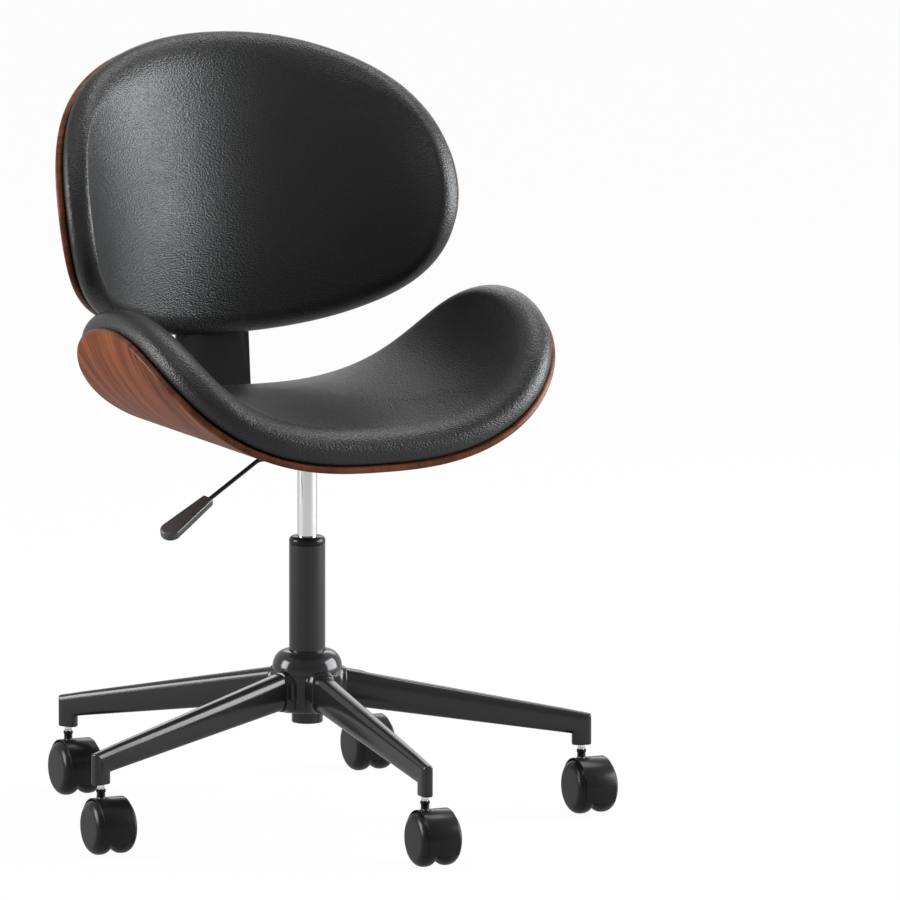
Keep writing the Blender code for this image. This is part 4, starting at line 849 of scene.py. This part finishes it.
def dress_casters(plastic, chrome):
    """Five casters that trail forward."""
    wheel, hood, stem = wheel_piece(), hood_piece(), stem_piece()
    for index in range(LEG_COUNT):
        number = index + 1
        yaw = leg_yaw(index)
        spot = COLUMN + Vector((LEG_REACH * math.cos(yaw), LEG_REACH * math.sin(yaw), 0.0))
        post = put(copy_of(stem, f"stem_{number}"), spot)
        stands_for(post, f"caster_stem_{number}", "base", chrome)
        centre = spot + Vector((0.0, -CASTER_TRAIL, WHEEL_RADIUS))
        cover = put(copy_of(hood, f"hood_{number}"), centre)
        stands_for(cover, f"caster_hood_{number}", f"caster_{number}", plastic)
        for side, sign in (("left", -1), ("right", 1)):
            disc = put(copy_of(wheel, f"tyre_{number}_{side}"),
                       centre + Vector((sign * WHEEL_SPACE / 2, 0.0, 0.0)),
                       (0.0, sign * math.pi / 2, 0.0))
            stands_for(disc, f"wheel_{number}_{side}", f"wheel_{number}_{side}",
                       plastic)
    for piece in (wheel, hood, stem):
        bpy.data.objects.remove(piece)


# Bolts, bracket and lever

def bolt_piece(length):
    """Button-head bolt with a six-sided socket; its head's seat is at level 0."""
    head = BOLT_HEAD_HEIGHT
    stations = [(BOLT_RADIUS, -length), (BOLT_RADIUS, BOLT_GAP), (BOLT_HEAD_RADIUS, BOLT_GAP)]
    for index in range(1, 9):
        angle = math.pi / 2 * index / 9
        stations.append((BOLT_HEAD_RADIUS * math.cos(angle) ** 0.8,
                         BOLT_GAP + head * math.sin(angle)))
    bolt = turned("bolt", stations, SMALL_SIDES)
    bpy.ops.mesh.primitive_cylinder_add(vertices=6, radius=SOCKET_RADIUS, depth=2 * SOCKET_DEPTH,
                                        location=(0.0, 0.0, BOLT_GAP + head))
    socket = bpy.context.object
    cut = bolt.modifiers.new("socket", 'BOOLEAN')
    cut.operation = 'DIFFERENCE'
    cut.object = socket
    cut.solver = 'EXACT'
    apply_modifiers(bolt)
    bpy.data.objects.remove(socket)
    smooth(bolt, 35.0)
    return bolt


def handle_outline(inset, level):
    """The paddle's outline, set in from its edge, at a level of its thickness."""
    half = HANDLE_WIDTH / 2 - inset
    centre = HANDLE_LENGTH - HANDLE_WIDTH / 2
    root = HANDLE_ROOT_WIDTH / 2 - inset
    corner = HANDLE_CORNER
    flat = quarter((0.0, centre), half, 0.0, 180.0, 24)
    flat += quarter((corner - root, inset + corner), corner, 180.0, 270.0, 5)
    flat += quarter((root - corner, inset + corner), corner, 270.0, 360.0, 5)
    return [(x, level, z) for x, z in flat]


def handle_piece():
    """Flat paddle with broken edges, along its own Z axis."""
    half, edge = HANDLE_THICKNESS / 2, HANDLE_EDGE
    arc = [math.pi / 2 * index / 5 for index in range(6)]
    rings = [handle_outline(edge * (1.0 - math.sin(angle)), -half + edge * (1.0 - math.cos(angle)))
             for angle in arc]
    rings += [handle_outline(edge * (1.0 - math.cos(angle)), half - edge * (1.0 - math.sin(angle)))
              for angle in arc]
    handle = swept("lever_paddle", rings)
    axis = Vector((-math.cos(HANDLE_SWING) * math.cos(HANDLE_DIP),
                   -math.sin(HANDLE_SWING) * math.cos(HANDLE_DIP), -math.sin(HANDLE_DIP)))
    side = axis.cross(Vector((0.0, 0.0, 1.0))).normalized()
    basis = Matrix((side, axis.cross(side), axis)).transposed().to_4x4()
    twist = Matrix.Rotation(HANDLE_TWIST, 4, axis)
    handle.matrix_world = Matrix.Translation(HANDLE_ROOT) @ twist @ basis
    pick(handle)
    bpy.ops.object.transform_apply(location=True, rotation=True, scale=True)
    return handle


def dress_fittings(paint, grip, steel):
    """Bracket, seat plate, lever and bolts."""
    fine_copy("back_bracket", "seat", paint, BRACKET_EDGE)
    fine_copy("seat_plate", "seat", paint)
    fine_copy("lever_rod", "lever", paint, sharp=70.0)
    stands_for(handle_piece(), "lever_handle", "lever", grip)
    for kind, angle in (("bracket_bolt", -math.pi / 2 - BACK_LEAN), ("plate_screw", math.pi)):
        for number in (1, 2, 3, 4):
            low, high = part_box(f"{kind}_{number}")
            low, high = Vector(low), Vector(high)
            middle = (low + high) / 2
            if kind == "plate_screw":
                length = (high.z - low.z) - BOLT_GAP - BOLT_HEAD_HEIGHT
                spot = Vector((middle.x, middle.y, high.z - length))
            else:
                lean_sine, lean_cosine = math.sin(BACK_LEAN), math.cos(BACK_LEAN)
                outward = Vector((0.0, lean_cosine, -lean_sine))
                whole = ((high.y - low.y) - 2 * BOLT_RADIUS * lean_sine) / lean_cosine
                length = whole - BOLT_GAP - BOLT_HEAD_HEIGHT
                spot = middle + outward * (length - BOLT_GAP - BOLT_HEAD_HEIGHT) / 2
            bolt = bolt_piece(length)
            bolt.name = f"{kind}_head_{number}"
            bolt.data.name = bolt.name
            put(bolt, spot, (angle, 0.0, 0.0))
            stands_for(bolt, f"{kind}_{number}", "seat", steel)


# Bent sheets

def seat_sheet(x, y, lift):
    """Points of the bent seat blank, lifted from its upper face."""
    reach = np.linspace(0.0, BEND_REACH, BEND_STEPS)
    slope = SEAT_WING_ANGLE * (reach / SEAT["half_x"]) ** SEAT_BEND_POWER
    step = reach[1] - reach[0]
    middle = SEAT_WING_ANGLE * ((reach[1:] - step / 2) / SEAT["half_x"]) ** SEAT_BEND_POWER
    across = np.concatenate(([0.0], np.cumsum(np.cos(middle) * step)))
    rise = np.concatenate(([0.0], np.cumsum(np.sin(middle) * step)))
    far = np.abs(x)
    angle = np.interp(far, reach, slope)
    out = np.interp(far, reach, across) - lift * np.sin(angle)
    up = np.interp(far, reach, rise) + lift * np.cos(angle)
    return np.stack([np.sign(x) * out, SEAT_MIDDLE[1] + y, SEAT_MIDDLE[2] + up], axis=-1)


def back_sheet(x, y, lift):
    """Points of the bent back blank, lifted from its front face."""
    radius = BACK_RADIUS + BACK_FLARE * y
    angle = x / radius
    inner = radius - lift
    side = inner * np.sin(angle)
    forward = radius - inner * np.cos(angle)
    cosine, sine = math.cos(BACK_LEAN), math.sin(BACK_LEAN)
    return np.stack([side, BACK_MIDDLE[1] - forward * cosine + y * sine,
                     BACK_MIDDLE[2] + forward * sine + y * cosine], axis=-1)


def outline_points(blank, grow, share):
    """Points of a blank's outline at shares of its length, set out by a width."""
    angle = -math.pi * 0.75 + np.linspace(0.0, math.tau, 2 * OUTLINE_STEPS + 1)
    cosine, sine = np.cos(angle), np.sin(angle)
    x = blank["half_x"] * np.sign(cosine) * np.abs(cosine) ** (2 / blank["power_x"])
    y = blank["half_y"] * np.sign(sine) * np.abs(sine) ** (2 / blank["power_y"])
    length = np.concatenate(([0.0], np.cumsum(np.hypot(np.diff(x), np.diff(y)))))
    length /= length[-1]
    step = 1.0 / OUTLINE_STEPS
    ahead, behind = (share + step) % 1.0, (share - step) % 1.0
    along_x = np.interp(ahead, length, x) - np.interp(behind, length, x)
    along_y = np.interp(ahead, length, y) - np.interp(behind, length, y)
    size = np.hypot(along_x, along_y)
    return (np.interp(share, length, x) + grow * along_y / size,
            np.interp(share, length, y) - grow * along_x / size)


def grid_shares(p, q, across, along):
    """Place of a square grid's points round its rim (0 to 1), and their ring."""
    ring = np.maximum(np.abs(p), np.abs(q))
    safe = np.where(ring < 1e-6, 1.0, ring)
    steps = np.where(np.abs(q + ring) < 1e-6, (p / safe + 1) / 2 * across,
             np.where(np.abs(p - ring) < 1e-6, across + (q / safe + 1) / 2 * along,
              np.where(np.abs(q - ring) < 1e-6, across + along + (1 - p / safe) / 2 * across,
                       2 * across + along + (1 - q / safe) / 2 * along)))
    return (steps / (2 * (across + along))) % 1.0, ring


def flat_places(blank, grow, share, ring):
    """Flat places on the blank for rim shares and rings."""
    x, y = outline_points(blank, grow, share)
    x, y = x * ring, y * ring
    return x * (1.0 - blank["taper"] * y / blank["half_y"]), y


def add_grid(name, across, along):
    """A square grid primitive from -1 to 1."""
    bpy.ops.object.select_all(action='DESELECT')
    bpy.ops.mesh.primitive_grid_add(x_subdivisions=across, y_subdivisions=along, size=2.0)
    piece = bpy.context.object
    piece.name = name
    piece.data.name = name
    return piece


def read_points(piece):
    """The piece's vertices as an array."""
    points = np.empty(len(piece.data.vertices) * 3)
    piece.data.vertices.foreach_get("co", points)
    return points.reshape(-1, 3)


def write_points(piece, points):
    """Put the array back into the piece's vertices."""
    piece.data.vertices.foreach_set("co", np.asarray(points, float).ravel())
    piece.data.update()


def ply_shell(name, blank, sheet, across, along, veneer, edge):
    """A bent plywood shell: veneered faces, rounded edge."""
    piece = add_grid(name, across, along)
    grid = read_points(piece)
    share, ring = grid_shares(grid[:, 0], grid[:, 1], across, along)
    x, y = flat_places(blank, 0.0, share, ring)
    write_points(piece, sheet(x, y, 0.0 * x))
    layer = piece.data.uv_layers.active or piece.data.uv_layers.new()
    layer.name = "Sheet"
    for loop in piece.data.loops:
        layer.data[loop.index].uv = (x[loop.vertex_index], y[loop.vertex_index])
    piece.data.materials.append(veneer)
    piece.data.materials.append(edge)
    wall = piece.modifiers.new("plies", 'SOLIDIFY')
    wall.thickness = PLY
    wall.offset = -1.0
    wall.use_even_offset = True
    wall.material_offset_rim = 1
    lip = piece.modifiers.new("rounded_lip", 'BEVEL')
    lip.width = LIP_ROUND
    lip.segments = 4
    lip.limit_method = 'ANGLE'
    lip.angle_limit = CORNER_ANGLE
    lip.material = 1
    apply_modifiers(piece)
    smooth(piece, 60.0)
    return piece


def rim_blend(blank, share, turn, front, side, rear):
    """A measure round the rim, from front to side to rear; the turn is where side begins."""
    x, y = outline_points(blank, 0.0, share)
    far = np.clip((np.abs(x) / blank["half_x"] - turn[0]) / (turn[1] - turn[0]), 0.0, 1.0)
    far = far * far * (3.0 - 2.0 * far)
    back = np.clip(0.5 + 1.5 * y / blank["half_y"], 0.0, 1.0)
    return far * side + (1.0 - far) * (back * rear + (1.0 - back) * front)


def side_stations(profile, bulge, rounding, edge):
    """Steps outward and up the cushion's side, from its foot to where the face begins."""
    foot, waist = profile["foot"], profile["waist"]
    stations = []
    for angle in np.linspace(0.0, math.pi / 2, 7)[1:]:
        stations.append((-foot + (bulge + foot) * math.sin(angle),
                         waist - (waist - PAD_LOW) * math.cos(angle)))
    for angle in np.linspace(0.0, math.pi / 2, 9)[1:-1]:
        stations.append((bulge - rounding + rounding * math.cos(angle),
                         waist + (edge - waist) * math.sin(angle)))
    return stations


def band(near, far):
    """Faces between two closed rows of points."""
    after = np.roll(np.arange(len(near)), -1)
    return np.stack([near, near[after], far[after], far], axis=-1).tolist()


def cushion(name, blank, sheet, across, along, profile, leather):
    """An upholstered pad: drawn-in foot, full side and crowned face."""
    piece = add_grid(name, across, along)
    grid = read_points(piece)
    share, ring = grid_shares(grid[:, 0], grid[:, 1], across, along)
    rim = 2 * (across + along)
    rim_share = np.arange(rim) / rim

    def measured(key, where):
        return rim_blend(blank, where, profile["turn"], *profile[key])

    bulge, rounding, edge = (measured(key, rim_share) for key in ("bulge", "rounding", "edge"))
    x, y = flat_places(blank, -profile["foot"], share, ring)
    points = [sheet(x, y, 0.0 * x + PAD_LOW)]
    faces = [list(reversed(polygon.vertices)) for polygon in piece.data.polygons]
    order = np.argsort(np.where(ring > 0.999, share, 9.0))[:rim]
    row, base = order, len(grid)
    for grow, level in side_stations(profile, bulge, rounding, edge):
        x, y = flat_places(blank, grow, rim_share, np.ones(rim))
        points.append(sheet(x, y, 0.0 * x + level))
        faces += band(row, base + np.arange(rim))
        row, base = base + np.arange(rim), base + rim
    x, y = flat_places(blank, measured("bulge", share) - measured("rounding", share), share, ring)
    rise, middle = measured("edge", share), ring * ring
    points.append(sheet(x, y, rise * middle + profile["crown"] * (1.0 - middle)))
    faces += band(row, base + order)
    faces += [[base + corner for corner in polygon.vertices] for polygon in piece.data.polygons]
    mesh = bpy.data.meshes.new(name)
    mesh.from_pydata(np.concatenate(points).tolist(), [], faces)
    mesh.update()
    old = piece.data
    piece.data = mesh
    bpy.data.meshes.remove(old)
    mesh.materials.append(leather)
    skin = piece.modifiers.new("soft_skin", 'SUBSURF')
    skin.levels = 1
    skin.render_levels = 1
    apply_modifiers(piece)
    piece.data.shade_smooth()
    return piece


def dress_seat(leather, veneer, edge):
    """Shells and cushions of the seat and the backrest."""
    shell = ply_shell("seat_walnut_shell", SEAT, seat_sheet, *SEAT_GRID, veneer, edge)
    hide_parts("seat_shell")
    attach(shell, "seat")
    shell = ply_shell("back_walnut_shell", BACK, back_sheet, *BACK_GRID, veneer, edge)
    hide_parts("back_shell")
    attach(shell, "seat")
    pad = cushion("seat_cushion", SEAT, seat_sheet, *SEAT_GRID, SEAT_PROFILE, leather)
    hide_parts("seat_pad")
    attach(pad, "seat")
    pad = cushion("back_cushion", BACK, back_sheet, *BACK_GRID, BACK_PROFILE, leather)
    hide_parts("back_pad")
    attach(pad, "seat")


def finish_nodes(finishes):
    """Give every CAD node the better material of its slot."""
    slots = {entry["node"]: entry["material_slot"] for entry in frame["record"]["subparts"]}
    for name, node in frame["nodes"].items():
        if slots[name] in finishes:
            node.data.materials.clear()
            node.data.materials.append(finishes[slots[name]])


def main():
    """Dress the chair."""
    bpy.context.scene.view_settings.view_transform = 'Standard'
    place_camera()
    light_studio()
    lay_floor()
    leather = black_leather()
    veneer = walnut_veneer("walnut_veneer")
    edge = walnut_veneer("walnut_edge", 0.22, 0.66, 0.08)
    paint = powder_coat("black_powder_coat")
    plastic = powder_coat("black_moulded_plastic", (0.010, 0.010, 0.010), 0.24, 0.25)
    grip = powder_coat("grey_black_grip", (0.088, 0.090, 0.092), 0.26, 0.50)
    steel = powder_coat("black_oxide", (0.018, 0.018, 0.018), 0.28)
    chrome = polished_chrome()
    finish_nodes({"black_paint": paint, "black_plastic": plastic, "black_oxide_steel": steel,
                  "chrome": chrome, "walnut_ply": veneer, "black_leather": leather})
    dress_base(paint)
    dress_column(paint, plastic, chrome)
    dress_casters(plastic, chrome)
    dress_seat(leather, veneer, edge)
    dress_fittings(paint, grip, steel)


main()
